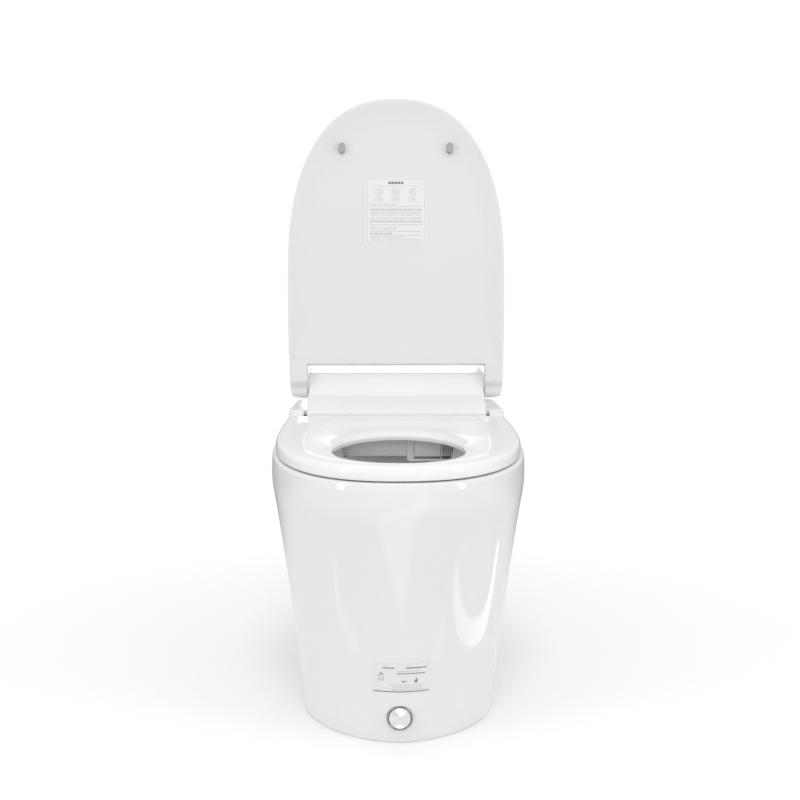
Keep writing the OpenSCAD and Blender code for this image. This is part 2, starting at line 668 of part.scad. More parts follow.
// ---- electrics ----
board_z = rim_z + 22;
module main_board() {
  color("darkgreen") {
    box(-110, 20, -118, -24, board_z, board_z + 1.6);
    color("black") for (i = [0:3]) box(-98 + 28 * i, -82 + 28 * i, -100, -84, board_z + 1.5, board_z + 7);
    color("gray") for (i = [0:2]) rod_z(-90 + 34 * i, -50, 6, board_z + 1.5, board_z + 20);
    color("white") for (i = [0:4]) box(-100 + 22 * i, -88 + 22 * i, -34, -27, board_z + 1.5, board_z + 9);
  }
}
module board_cover() {
  color("gray") {
    difference() {
      box(-116, 26, -124, -18, plate_z, board_z + 24);
      box(-113, 23, -121, -21, plate_z + 3, board_z + 25);
    }
    for (x = [-104, 14], s = [-112, -30]) rod_z(x, s, 4, plate_z + 2.9, board_z);
  }
}
module power_supply() {
  color("silver") {
    box(40, 130, -118, -40, plate_z, plate_z + 42);
    for (i = [0:6]) box(46 + 12 * i, 49 + 12 * i, -110, -48, plate_z + 41.5, plate_z + 50);
  }
}
module cable_gland() {
  color("dimgray") difference() {
    union() {
      rod_s(gland_x, inlet_z, port_r - 0.3, -body_back + 1, -body_back + ceramic_wall + 9);
      rod_s(gland_x, inlet_z, 19, -body_back + ceramic_wall + 8.5, -body_back + ceramic_wall + 16);
    }
    rod_s(gland_x, inlet_z, 4, -body_back - 1, -body_back + ceramic_wall + 20);
  }
}
module seat_sensor() {
  color("black") box(-84, -56, 42, 48, fan_z0 + 36, plate_z + 18);
}

// ---- hinges ----
bush_len = 10;
bush_fit = 0.02;
module hinge_bushes() {
  color("dimgray") both_sides() {
    difference() {
      rod_x(lid_pin_s, lid_pin_z, bush_hole_lid - bush_fit, casing_half_w - bush_len, casing_half_w);
      rod_x(lid_pin_s, lid_pin_z, lid_pin_r + run_gap, casing_half_w - bush_len - 1, casing_half_w + 1);
    }
    difference() {
      rod_x(seat_pin_s, seat_pin_z, bush_hole_seat - bush_fit, casing_half_w - bush_len, casing_half_w);
      rod_x(seat_pin_s, seat_pin_z, seat_pin_r + run_gap, casing_half_w - bush_len - 1, casing_half_w + 1);
    }
  }
}
lug_x0 = casing_half_w + 6.5;
lug_x1 = casing_half_w + 29;
ear_x0 = casing_half_w + 1.5;
module seat_pins() {
  color("silver") both_sides() rod_x(seat_pin_s, seat_pin_z, seat_pin_r, casing_half_w - 16, lug_x1 - 4);
}
module lid_pins() {
  color("silver") both_sides() rod_x(lid_pin_s, lid_pin_z, lid_pin_r, casing_half_w - 16, ear_x0 + 18);
}
module seat_damper() {
  color("gray") difference() {
    rod_x(seat_pin_s, seat_pin_z, 9, casing_half_w - 50, casing_half_w - bush_len - 0.4);
    rod_x(seat_pin_s, seat_pin_z, seat_pin_r + run_gap, casing_half_w - 18, casing_half_w);
  }
}
module lid_damper() {
  color("gray") difference() {
    rod_x(lid_pin_s, lid_pin_z, bush_hole_lid - bush_fit, casing_half_w - 56, casing_half_w - bush_len - 0.4);
    rod_x(lid_pin_s, lid_pin_z, lid_pin_r + run_gap, casing_half_w - 18, casing_half_w);
  }
}

// ---- seat ring ----
seat_lift_gap = 2;              // the bumpers hold the ring this far above the rim
seat_z0 = rim_z + seat_lift_gap;
seat_base_thick = 3;
seat_full = 2.376;
function seat_ring(inset) = plan(seat_half_w - inset, seat_front - inset, body_mid, seat_full,
  seat_rear + inset * 0.4, seat_half_w - 3.5 - inset);
seat_outer = seat_ring(0);
function seat_hole(grow) = oval_towards(seat_outer, seat_open_mid, seat_open_half_w + grow,
  seat_open_half_l + grow);
// share of the way in to the opening, and height
seat_top_rows = [[0, 5], [0, 11], [0.018, 16.5], [0.075, 20], [0.17, 21], [0.4, 20.2], [0.65, 17.8],
                 [0.86, 14.6], [0.965, 11.5], [1, 7], [1, 3]];
seat_under_rows = [[0.965, 3], [0.94, 9], [0.86, 11.6], [0.65, 14.8], [0.4, 17.2], [0.17, 18], [0.09, 16.5],
                   [0.045, 10], [0.045, 3]];
function seat_row(r) = raised(blend(seat_outer, seat_hole(0), r[0]), seat_z0 + r[1] * seat_thick / 21);
module seat_top() {
  color("white") skin_through(concat([raised(seat_outer, seat_z0 + 3 * seat_thick / 21)],
    [for (r = seat_top_rows) seat_row(r)], [for (r = seat_under_rows) seat_row(r)]), true);
}
module seat_base() {
  color("white") difference() {
    union() {
      difference() {
        translate([0, 0, seat_z0]) linear_extrude(seat_base_thick) polygon(drawn(seat_ring(0.5)));
        translate([0, 0, seat_z0 - 1]) linear_extrude(seat_base_thick + 2) polygon(drawn(seat_hole(0.5)));
      }
      both_sides() {
        box(lug_x0, lug_x1, seat_pin_s, seat_rear + 12, seat_z0 + 0.5, seat_z0 + seat_base_thick);
        box(lug_x0, lug_x1, seat_pin_s, seat_rear - 0.2, seat_z0 + 0.5, seat_pin_z + 4);
        rod_x(seat_pin_s, seat_pin_z, lug_r, lug_x0, lug_x1);
      }
    }
    both_sides() rod_x(seat_pin_s, seat_pin_z, seat_pin_r + run_gap, lug_x0 - 1, lug_x1 - 3);
  }
}
heater_rows = [[0.2, 17.6], [0.65, 14.2], [0.84, 11.4], [0.84, 10.8], [0.65, 13.6], [0.2, 17]];
module seat_heater() {
  color("silver") skin_through([for (r = heater_rows) seat_row([r[0], r[1] - 0.2])], true);
}
seat_bumper_at = [[148, 112], [150, 330]];
module seat_bumpers() {
  color("lightgray") both_sides() for (p = seat_bumper_at) hull() for (d = [-9, 9])
    rod_z(p[0], p[1] + d, 5, rim_z, seat_z0);
}

// ---- lid, drawn closed about its pin and then turned back to its open stop ----
module lid_frame() { at(lid_pin_s, 0, lid_pin_z) rotate([-90 - lid_lean, 0, 0]) children(); }
lid_mid = body_mid - lid_pin_s;
lid_top_rear = 9;
lid_fall = 0.02;                // the lid's top falls this much for each millimetre forward
lid_ear_in = 5.5;               // how much narrower the lid is at its ear ends
// half width of the lid behind its widest place
function lid_side(u) = lid_half_w - lid_ear_in * pow((lid_mid - u) / (lid_mid + ear_r), 2);
function lid_ring(inset, v, fall = 0, rear = lid_window) = let (back = rear + inset * 0.2)
  [for (p = plan(lid_half_w - inset, lid_len - inset, lid_mid, seat_full, back, lid_side(back) - inset))
    [p[0], -p[1], v - fall * p[1]]];
lid_top_rows = [[120, 0], [70, 0.6], [38, 2.2], [18, 5.4], [7, 9.6], [1.6, 15]];
lid_hollow_rows = [[8.4, 15.4], [20, 9.4], [40, 5.6], [120, skin]];
hollow_rear = lid_window + 7;
// the outside from the middle of the top to the rim, then the hollow back to its middle
lid_skin = concat(
  [for (r = lid_top_rows) lid_ring(r[0], lid_top_rear - r[1], lid_fall)],
  [lid_ring(0, 5 - lid_rim_drop), lid_ring(0.8, -lid_rim_drop)],
  [lid_ring(6, -lid_rim_drop, 0, hollow_rear), lid_ring(8, 4 - lid_rim_drop, 0, hollow_rear)],
  [for (r = lid_hollow_rows) lid_ring(r[0], lid_top_rear - r[1], lid_fall, hollow_rear)]
);
// a slice across one ear at a distance in front of the pin, rounded off towards its end
ear_stations = [-ear_r + 0.4, -ear_r * 0.8, -ear_r * 0.45, 0, 6, 12, 20, lid_window + 1.5];
function ear_low(u) = u < 4 ? -sqrt(ear_r * ear_r - min(u, 0) * min(u, 0))
  : -ear_r - (lid_rim_drop - ear_r) * min(1, (u - 4) / 12);
function ear_high(u) = u < 0 ? sqrt(ear_r * ear_r - u * u) * (lid_top_rear - 2) / ear_r
  : lid_top_rear - 2 - lid_fall * u;
function ear_slice(u) = let (w = lid_side(u), lo = ear_low(u), hi = ear_high(u), m = lo + (hi - lo) * 0.25)
  [for (p = [[ear_x0, lo], [w - 1, lo], [w, m], [w - 1.6, max(m + 0.2, hi - 12)], [w - 7, hi - 5],
             [w - 17, hi - 1.4], [ear_x0, hi]]) [p[0], -u, p[1]]];
module lid_ear() {
  difference() {
    skin_through([for (u = ear_stations) ear_slice(u)]);
    translate([ear_x0 - 1, 0, 0]) rotate([0, 90, 0]) cylinder(h = 19, r = lid_pin_r, $fn = 48);
  }
}
module lid_shell() {
  color("white") lid_frame() {
    skin_through(lid_skin);
    both_sides() lid_ear();
  }
}
panel_drop = 9;                 // the inner panel lies this far above the rim
panel_rows = [[9.4, 3], [14, 5.5], [28, panel_drop]];
panel_rear = hollow_rear + 0.6;
module lid_panel() {
  color("white") lid_frame() skin_through(concat(
    [for (r = [panel_rows[2], panel_rows[1], panel_rows[0]])
      lid_ring(r[0], r[1] - lid_rim_drop, 0, panel_rear)],
    [for (r = panel_rows) lid_ring(r[0] + 0.2, r[1] - lid_rim_drop + 2.2, 0, panel_rear)]));
}
lid_bumper_at = [96, 432];
module lid_bumpers() {
  color("gray") lid_frame() both_sides() hull() for (d = [-3.5, 3.5])
    translate([lid_bumper_at[0], -lid_bumper_at[1] + d, -lid_rim_drop - 3])
      cylinder(h = panel_drop + 3, r = 5.5, $fn = 32);
}
label_t = 0.3;
module lid_label() {
  color("gainsboro") lid_frame()
    translate([-54, -380, -lid_rim_drop + panel_drop - label_t]) cube([108, 121, label_t]);
}

// ---- foot button ----
button_face_s = button_seat_s + 8;
module button_ring() {
  color("silver") difference() {
    union() {
      rod_s(0, button_z, button_ring_r, button_seat_s - 1, button_face_s - 1);
      rod_s(0, button_z, button_hole_r - 0.3, button_seat_s - 32, button_seat_s);
    }
    rod_s(0, button_z, button_cap_r - 3, button_seat_s - 33, button_face_s);
    rod_s(0, button_z, button_cap_r + part_gap, button_face_s - 12, button_face_s + 1);
  }
}
switch_face_s = button_seat_s - 32.5;
cap_under_s = button_face_s - 5.5;
module button_cap() {
  color("silver") {
    rod_s(0, button_z, button_cap_r, cap_under_s, button_face_s - 1.5);
    intersection() {
      at(button_face_s - 40, 0, button_z) sphere(r = 41.5, $fn = 64);
      rod_s(0, button_z, button_cap_r, button_face_s - 3, button_face_s + 10);
    }
    rod_s(0, button_z, 4, switch_face_s + button_travel + 0.5, cap_under_s + 0.5);
  }
}
// coil between the switch and the pressed cap
spring_turns = 7;
spring_steps = 16;
spring_r = 8;
wire_r = 0.7;
spring_s0 = switch_face_s + wire_r + 0.2;
spring_s1 = cap_under_s - button_travel - wire_r - 0.2;
function coil_ring(t) = let (d = 360 * t, s = spring_s0 + (spring_s1 - spring_s0) * t / spring_turns)
  [for (a = [0:60:300]) let (r = spring_r + wire_r * cos(a))
    [r * cos(d), hinge_y - s - wire_r * sin(a), button_z + r * sin(d)]];
module button_spring() {
  color("gray") skin_through([for (i = [0:spring_turns * spring_steps]) coil_ring(i / spring_steps)]);
}
module button_switch() {
  color("dimgray") {
    rod_s(0, button_z, 11, switch_face_s - 15.5, switch_face_s);
    box(-7, 7, switch_face_s - 29.5, switch_face_s - 15.5, button_z - 6, button_z + 6);
  }
}
label_z = 107;
label_h = 49;
label_x = [-40, 44];
label_rows = [70, 135];         // wall levels on either side of the label
module body_label() {
  color("gainsboro") intersection() {
    difference() {
      skin_through([for (z = label_rows) raised(body_ring(z, -0.05 - label_t), z)]);
      skin_through([for (z = label_rows) raised(body_ring(z, -0.05), z)]);
    }
    box(label_x[0], label_x[1], body_mid, body_front, label_z - label_h / 2, label_z + label_h / 2);
  }
}

ceramic_body();
trap_pipe();
outlet_seal();
floor_brackets();
floor_screws();
side_caps();
flush_hose();
flush_pump();
pump_impeller();
casing_base();
casing_top();
tray_cover();
casing_screws();
casing_clamps();
wash_bezel();
wand_shutter();
dryer_grille();
wand_tube();
wand_tip();
wand_rack();
wand_pinion();
wand_motor();
wand_guide();
blower_housing();
blower_fan();
blower_motor();
dryer_duct();
inlet_fitting();
inlet_filter();
solenoid_valve();
heater_tank();
diverter_valve();
air_pump();
water_hoses();
main_board();
power_supply();
board_cover();
cable_gland();
seat_sensor();
hinge_bushes();
seat_pins();
seat_damper();
lid_damper();
seat_top();
seat_base();
seat_heater();
seat_bumpers();
lid_shell();
lid_panel();
lid_pins();
lid_bumpers();
lid_label();
button_ring();
button_cap();
button_spring();
button_switch();
body_label();
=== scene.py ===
import json
import random
from math import atan2, cos, hypot, pi, radians, sin, sqrt, tan

import bmesh
import bpy
from bpy.props import FloatProperty, FloatVectorProperty, IntProperty, PointerProperty
from mathutils import Matrix, Vector


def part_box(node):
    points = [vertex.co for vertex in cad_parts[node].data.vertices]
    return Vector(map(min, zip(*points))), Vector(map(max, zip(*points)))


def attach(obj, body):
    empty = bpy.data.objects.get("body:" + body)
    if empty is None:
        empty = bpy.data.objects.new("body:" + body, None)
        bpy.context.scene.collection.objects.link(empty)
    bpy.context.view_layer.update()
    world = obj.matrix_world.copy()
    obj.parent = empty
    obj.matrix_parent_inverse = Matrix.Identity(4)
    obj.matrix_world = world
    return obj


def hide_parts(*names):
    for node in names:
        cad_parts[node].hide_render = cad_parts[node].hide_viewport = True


bl_info = {
    "name": "One-piece bidet toilet",
    "version": (1, 0, 0),
    "blender": (4, 5, 0),
    "location": "3D View > Sidebar > Bidet toilet",
    "description": "Pedestal, seat ring, lid, casing, wash unit and foot button of an electric bidet toilet",
    "category": "Add Mesh",
}

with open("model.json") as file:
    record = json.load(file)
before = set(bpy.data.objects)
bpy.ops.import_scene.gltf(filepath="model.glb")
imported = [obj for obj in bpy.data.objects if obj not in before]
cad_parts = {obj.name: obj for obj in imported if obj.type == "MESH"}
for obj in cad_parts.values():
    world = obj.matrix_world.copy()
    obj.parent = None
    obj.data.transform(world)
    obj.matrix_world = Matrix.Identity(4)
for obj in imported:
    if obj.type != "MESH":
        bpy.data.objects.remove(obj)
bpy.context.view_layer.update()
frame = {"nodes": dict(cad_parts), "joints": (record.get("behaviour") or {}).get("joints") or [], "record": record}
RECORD_JOINTS = {j["name"]: j for j in frame["joints"]}

MM = 0.001
HINGE_Y = RECORD_JOINTS["lid_hinge"]["pos_m"][1] + 2 * MM   # depth line that distances forward count from
LID_PIVOT = Vector(RECORD_JOINTS["lid_hinge"]["pos_m"])
SEAT_PIVOT = Vector(RECORD_JOINTS["seat_hinge"]["pos_m"])
RIM_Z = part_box("ceramic_body")[1].z
BODY_HALF_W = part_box("ceramic_body")[1].x
BODY_FRONT = HINGE_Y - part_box("ceramic_body")[0].y
BODY_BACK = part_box("ceramic_body")[1].y - HINGE_Y

AROUND = 168          # points round every outline
FULLNESS = 2.376      # how square the rim, seat and lid curves are
FOOT_FULLNESS = 1.79
SEAT_LUG_IN = 161.5 * MM      # inner side of the seat's hinge lugs
LID_WINDOW_W = 156.5 * MM     # half width of the gap between the lid's ears


# ---------------------------------------------------------------- settings
def distance(name, description, size):
    """A length that a user may change, given in millimetres."""
    return FloatProperty(name=name, description=description, default=size * MM, unit="LENGTH")


def paint(name, description, colour):
    """A colour that a user may change."""
    return FloatVectorProperty(name=name, description=description, default=colour, subtype="COLOR", min=0,
                               max=1)


class PedestalSettings(bpy.types.PropertyGroup):
    foot_half_w: distance("Foot half width", "Half width of the foot on the floor", 148)
    foot_set_back: distance("Foot set back", "How far the foot stands behind the front", 84)
    wall: distance("Wall", "Thickness of the ceramic", 12)
    rim_edge: distance("Rim edge", "Rounding of the rim", 5.5)
    sump_z: distance("Bowl floor", "Height of the bowl's floor", 200)
    glaze: paint("Glaze", "Colour of the glaze", (0.757, 0.751, 0.742))


class SeatSettings(bpy.types.PropertyGroup):
    half_w: distance("Half width", "Half width of the ring", 192.5)
    front: distance("Front", "Reach in front of the hinge", 530)
    rear: distance("Rear", "Rear edge of the ring", 57)
    open_half_w: distance("Opening half width", "Half width of the opening", 100)
    open_half_l: distance("Opening half length", "Half length of the opening", 134)
    white: paint("Seat white", "Colour of the seat", (0.815, 0.817, 0.816))


class LidSettings(bpy.types.PropertyGroup):
    half_w: distance("Half width", "Half width of the lid", 191)
    length: distance("Length", "From the pin to the tip", 520.7)
    lean: FloatProperty(name="Lean", description="Lean of the open lid", default=radians(12), subtype="ANGLE")
    rim_drop: distance("Rim drop", "From the pin to the rim", 22)
    window: distance("Window", "Depth between the ears", 46)
    white: paint("Lid white", "Colour of the lid", (0.68, 0.681, 0.68))


class CasingSettings(bpy.types.PropertyGroup):
    half_w: distance("Half width", "Half width of the casing", 155)
    top_z: distance("Top", "Height of the casing's top", 492)
    flare: distance("Flare", "Spread at the casing's foot", 3.5)
    white: paint("Casing white", "Colour of the casing", (0.80, 0.804, 0.803))


class ButtonSettings(bpy.types.PropertyGroup):
    ring_r: distance("Ring radius", "Outside of the ring", 19.5)
    cap_r: distance("Cap radius", "Outside of the cap", 16.2)
    facets: IntProperty(name="Facets", description="Faces round the ring", default=96, min=24, max=256)


class StudioSettings(bpy.types.PropertyGroup):
    room: FloatProperty(name="Room", description="Strength of the even light", default=0.92, min=0)
    soft_boxes: FloatProperty(name="Soft boxes", description="Strength of the panels", default=1.0, min=0)
    focal: FloatProperty(name="Lens", description="Focal length in mm", default=1252 * 36 / 800, min=10)


SETTINGS = {
    "toilet_pedestal": PedestalSettings, "toilet_seat": SeatSettings, "toilet_lid": LidSettings,
    "toilet_casing": CasingSettings, "toilet_button": ButtonSettings, "toilet_studio": StudioSettings,
}


# ---------------------------------------------------------------- outlines seen from above
def dense_outline(half_w, front, mid, fullness, back, rear_half_w, corner):
    """Closed outline as (x, distance forward), from the front tip round the left side."""
    left = []
    steps = 240
    for i in range(steps + 1):
        t = pi / 2 + pi / 2 * i / steps
        left.append((-half_w * abs(cos(t)) ** (2 / fullness), mid
                     + (front - mid) * max(sin(t), 0) ** (2 / fullness)))
    for i in range(1, 61):
        f = i / 60
        left.append((-(half_w - (half_w - rear_half_w) * f * f), mid + (back + corner - mid) * f))
    for i in range(1, 25):
        t = pi / 2 * i / 24
        left.append((-(rear_half_w - corner * (1 - cos(t))), back + corner * (1 - sin(t))))
    for i in range(1, 31):
        left.append((-(rear_half_w - corner) * (1 - i / 30), back))
    right = [(-x, s) for x, s in reversed(left[1:-1])]
    return left + right


def evenly(points, count):
    """The same closed outline with count points, evenly apart."""
    loop = points + points[:1]
    along = [0.0]
    for (ax, ay), (bx, by) in zip(loop, loop[1:]):
        along.append(along[-1] + hypot(bx - ax, by - ay))
    out, k = [], 0
    for i in range(count):
        want = along[-1] * i / count
        while along[k + 1] < want:
            k += 1
        span = along[k + 1] - along[k]
        f = (want - along[k]) / span if span > 0 else 0
        out.append((loop[k][0] + (loop[k + 1][0] - loop[k][0]) * f, loop[k][1]
                    + (loop[k + 1][1] - loop[k][1]) * f))
    return out


def outline(half_w, front, mid, fullness, back, rear_half_w, corner):
    return evenly(dense_outline(half_w, front, mid, fullness, back, rear_half_w, corner), AROUND)


def oval_towards(points, mid, half_w, half_l):
    """The points of an oval in the directions of an outline's points."""
    out = []
    for x, s in points:
        d = atan2(s - mid, x)
        r = 1 / sqrt((cos(d) / half_w) ** 2 + (sin(d) / half_l) ** 2)
        out.append((r * cos(d), mid + r * sin(d)))
    return out


def mixed(a, b, f):
    return [(p[0] + (q[0] - p[0]) * f, p[1] + (q[1] - p[1]) * f) for p, q in zip(a, b)]


def smooth_rows(rows, between):
    """A soft curve through rows of numbers, with some more rows between each two."""
    out = []
    for i in range(len(rows) - 1):
        p0, p1, p2, p3 = rows[max(i - 1, 0)], rows[i], rows[i + 1], rows[min(i + 2, len(rows) - 1)]
        for k in range(between):
            t = k / between
            out.append(tuple(
                0.5 * (2 * b + (c - a) * t + (2 * a - 5 * b + 4 * c - d) * t * t
                       + (3 * b - a - 3 * c + d) * t ** 3)
                for a, b, c, d in zip(p0, p1, p2, p3)))
    out.append(tuple(rows[-1]))
    return out


def plan_view(z):
    """Places a drawing of (sideways, forward) seen from above at a height."""
    return Matrix(((1, 0, 0, 0), (0, -1, 0, HINGE_Y), (0, 0, 1, z), (0, 0, 0, 1)))


def raised(points, z):
    return [Vector((x, HINGE_Y - s, z)) for x, s in points]


# ---------------------------------------------------------------- building meshes
def lofted(rings, closed=False, start_cap=True, end_cap=True):
    """A skin pulled through rings of equal count, ring after ring."""
    bm = bmesh.new()
    first = bmesh.ops.create_circle(bm, cap_ends=False, segments=len(rings[0]), radius=1.0)["verts"]
    for v, co in zip(first, rings[0]):
        v.co = co
    bm.verts.ensure_lookup_table()
    first_edges = list(bm.edges)
    current, edges = list(first), first_edges
    for ring in rings[1:]:
        made = bmesh.ops.extrude_edge_only(bm, edges=edges)["geom"]
        new = {v for v in made if isinstance(v, bmesh.types.BMVert)}
        edges = [e for e in made if isinstance(e, bmesh.types.BMEdge) and e.verts[0] in new
                 and e.verts[1] in new]
        following = []
        for v in current:
            following.append(next(e.other_vert(v) for e in v.link_edges if e.other_vert(v) in new))
        for v, co in zip(following, ring):
            v.co = co
        current = following
    if closed:
        bmesh.ops.bridge_loops(bm, edges=first_edges + edges)
    else:
        if start_cap:
            bmesh.ops.contextual_create(bm, geom=first_edges)
        if end_cap:
            bmesh.ops.contextual_create(bm, geom=edges)
    bmesh.ops.recalc_face_normals(bm, faces=bm.faces)
    return bm


def piece(name, bm, sharp=35):
    """A finished mesh object in the toilet's frame, smooth but for edges sharper than an angle."""
    mesh = bpy.data.meshes.new(name)
    bm.to_mesh(mesh)
    bm.free()
    obj = bpy.data.objects.new(name, mesh)
    bpy.context.scene.collection.objects.link(obj)
    shade(obj, sharp)
    return obj


def shade(obj, sharp):
    for p in obj.data.polygons:
        p.use_smooth = True
    obj.data.set_sharp_from_angle(angle=radians(sharp))


def settled(obj, sharp=35):
    """Applies an object's modifiers to its mesh."""
    bpy.context.view_layer.update()
    mesh = bpy.data.meshes.new_from_object(obj.evaluated_get(bpy.context.evaluated_depsgraph_get()))
    old = obj.data
    obj.modifiers.clear()
    obj.data = mesh
    bpy.data.meshes.remove(old)
    shade(obj, sharp)
    return obj


def carved(obj, cutters, operation="DIFFERENCE", sharp=35):
    """Cuts, joins or keeps what is common with other solids, which are then thrown away."""
    tools = []
    for i, bm in enumerate(cutters):
        tool = piece(f"cutter_{i}", bm)
        tools.append(tool)
        mod = obj.modifiers.new(f"carve_{i}", "BOOLEAN")
        mod.operation, mod.solver, mod.object = operation, "EXACT", tool
    settled(obj, sharp)
    for tool in tools:
        mesh = tool.data
        bpy.data.objects.remove(tool)
        bpy.data.meshes.remove(mesh)
    return obj


def block(low, high, edge=0.0, segments=3):
    """A box between two corners, its edges rounded."""
    bm = bmesh.new()
    size = [b - a for a, b in zip(low, high)]
    middle = Matrix.Translation([(a + b) / 2 for a, b in zip(low, high)])
    bmesh.ops.create_cube(bm, size=1.0, matrix=middle @ Matrix.Diagonal((*size, 1)))
    if edge > 0:
        rounded(bm, bm.edges, edge, segments)
    return bm


def rounded(bm, edges, width, segments=3):
    bmesh.ops.bevel(bm, geom=list(edges), offset=width, offset_type="OFFSET", segments=segments, profile=0.5,
                    affect="EDGES", material=-1, clamp_overlap=True)


def forward_block(x0, x1, s0, s1, z0, z1, edge=0.0, segments=3):
    return block((x0, HINGE_Y - s1, z0), (x1, HINGE_Y - s0, z1), edge, segments)


def turned(profile, matrix, steps):
    """A closed solid spun from a profile of (radius, height) about its local Z axis."""
    bm = bmesh.new()
    verts = [bm.verts.new((r, 0, h)) for r, h in profile]
    edges = [bm.edges.new(pair) for pair in zip(verts, verts[1:])]
    bmesh.ops.spin(bm, geom=verts + edges, cent=(0, 0, 0), axis=(0, 0, 1), angle=2 * pi, steps=steps,
                   use_merge=True, use_duplicate=False)
    bmesh.ops.remove_doubles(bm, verts=bm.verts, dist=1e-6)
    bmesh.ops.recalc_face_normals(bm, faces=bm.faces)
    bmesh.ops.transform(bm, matrix=matrix, verts=bm.verts)
    return bm


def rod(centre, direction, radius, length, segments=48):
    """A plain round bar from a centre along a direction."""
    bm = bmesh.new()
    turn = Vector(direction).to_track_quat("Z", "Y").to_matrix().to_4x4()
    place = Matrix.Translation(Vector(centre) + Vector(direction).normalized() * length / 2) @ turn
    bmesh.ops.create_cone(bm, cap_ends=True, cap_tris=False, segments=segments, radius1=radius,
                          radius2=radius,
                          depth=length, matrix=place)
    return bm


def drawn_from(points, matrix, height):
    """A solid pulled up from a flat outline."""
    bm = bmesh.new()
    face = bm.faces.new([bm.verts.new((x, y, 0)) for x, y in points])
    lifted = bmesh.ops.extrude_face_region(bm, geom=[face])["geom"]
    bmesh.ops.translate(bm, vec=(0, 0, height), verts=[v
                                                       for v in lifted if isinstance(v, bmesh.types.BMVert)])
    bmesh.ops.recalc_face_normals(bm, faces=bm.faces)
    bmesh.ops.transform(bm, matrix=matrix, verts=bm.verts)
    return bm


def merged_copy(node):
    """The CAD node's mesh as one joined skin with clean flat faces."""
    bm = bmesh.new()
    bm.from_mesh(frame["nodes"][node].data)
    bmesh.ops.remove_doubles(bm, verts=bm.verts, dist=2e-6)
    bmesh.ops.dissolve_limit(bm, angle_limit=radians(0.6), verts=bm.verts, edges=bm.edges)
    return bm


def crisp_edges(bm, angle=28):
    return [e for e in bm.edges if len(e.link_faces) == 2 and e.calc_face_angle(0) > radians(angle)]


BODY_OF = {n: b for b, group in frame["record"]["behaviour"]["bodies"].items() for n in group}
SLOT_OF = {p["node"]: p["material_slot"] for p in frame["record"]["subparts"]}


def placed(obj, material, *nodes):
    """Gives a piece its material, its body and its finish, and lets it stand for CAD nodes."""
    obj.data.materials.clear()
    obj.data.materials.append(material)
    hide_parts(*nodes)
    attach(obj, BODY_OF[nodes[0]])
    return obj


def detail(obj, material, body, slot):
    """A small extra piece that no CAD node stands for."""
    obj.data.materials.clear()
    obj.data.materials.append(material)
    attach(obj, body)
    return obj


def refined(node, name, width, segments=3, angle=28):
    """A CAD node's shape again, joined up and with its crisp edges rounded."""
    bm = merged_copy(node)
    rounded(bm, crisp_edges(bm, angle), width, segments)
    return placed(piece(name, bm, 40), finishes()[SLOT_OF[node]], node)


def soften(obj, width, angle):
    """Rounds a piece's edges where its faces meet more sharply than an angle."""
    mod = obj.modifiers.new("soften", "BEVEL")
    mod.width, mod.segments, mod.limit_method, mod.angle_limit = width, 3, "ANGLE", radians(angle)
    mod.use_clamp_overlap = True
    return settled(obj, 40)


def joined(blocks):
    """Several loose solids as one mesh."""
    whole = bmesh.new()
    for bm in blocks:
        scrap = bpy.data.meshes.new("scrap")
        bm.to_mesh(scrap)
        bm.free()
        whole.from_mesh(scrap)
        bpy.data.meshes.remove(scrap)
    return whole


# ---------------------------------------------------------------- effects shared by the finishes
def add(tree, kind, **inputs):
    """Adds a node; an input given as a socket is linked, anything else is set."""
    node = tree.nodes.new("ShaderNode" + kind)
    for key, value in inputs.items():
        name = key.replace("_", " ")
        if hasattr(node, key) and not isinstance(value, bpy.types.NodeSocket) and name not in node.inputs:
            setattr(node, key, value)
            continue
        socket = node.inputs[int(key[1:])] if key[0] == "i" and key[1:].isdigit() else node.inputs[name]
        if isinstance(value, bpy.types.NodeSocket):
            tree.links.new(value, socket)
        else:
            socket.default_value = value
    return node


def effect(name, inputs, outputs, build):
    """A shader node group, built once."""
    if name in bpy.data.node_groups:
        return bpy.data.node_groups[name]
    tree = bpy.data.node_groups.new(name, "ShaderNodeTree")
    for label, kind, default in inputs:
        socket = tree.interface.new_socket(name=label, in_out="INPUT", socket_type="NodeSocket" + kind)
        socket.default_value = default
    for label, kind in outputs:
        tree.interface.new_socket(name=label, in_out="OUTPUT", socket_type="NodeSocket" + kind)
    start, end = tree.nodes.new("NodeGroupInput"), tree.nodes.new("NodeGroupOutput")
    for label, socket in build(tree, {s.name: s for s in start.outputs}).items():
        tree.links.new(socket, end.inputs[label])
    return tree


def spread(tree, factor, low, high, to_low, to_high):
    """Stretches a value from one range to another, held at its ends."""
    node = add(tree, "MapRange", clamp=True)
    for i, v in enumerate((factor, low, high, to_low, to_high)):
        if isinstance(v, bpy.types.NodeSocket):
            tree.links.new(v, node.inputs[i])
        else:
            node.inputs[i].default_value = v
    return node.outputs[0]


def maths(tree, operation, a, b=0.0):
    return add(tree, "Math", operation=operation, i0=a, i1=b).outputs[0]


def colour_mix(tree, factor, a, b):
    node = add(tree, "Mix", data_type="RGBA", i0=factor)
    for i, v in ((6, a), (7, b)):
        if isinstance(v, bpy.types.NodeSocket):
            tree.links.new(v, node.inputs[i])
        else:
            node.inputs[i].default_value = v
    return node.outputs[2]


def noise(tree, vector, scale, detail=3.0, rough=0.55):
    return add(tree, "TexNoise", Vector=vector, Scale=scale, Detail=detail, Roughness=rough).outputs[0]


def own_space(tree, stretch=None):
    space = add(tree, "TexCoord").outputs["Object"]
    if stretch:
        space = add(tree, "Mapping", Vector=space, Scale=stretch).outputs[0]
    return space


def build_tone(tree, given):
    n = noise(tree, own_space(tree), given["Scale"])
    return {"Color": colour_mix(tree, spread(tree, n, 0.35, 0.68, 0.0, given["Amount"]), given["Colour"],
                                given["Shade"])}


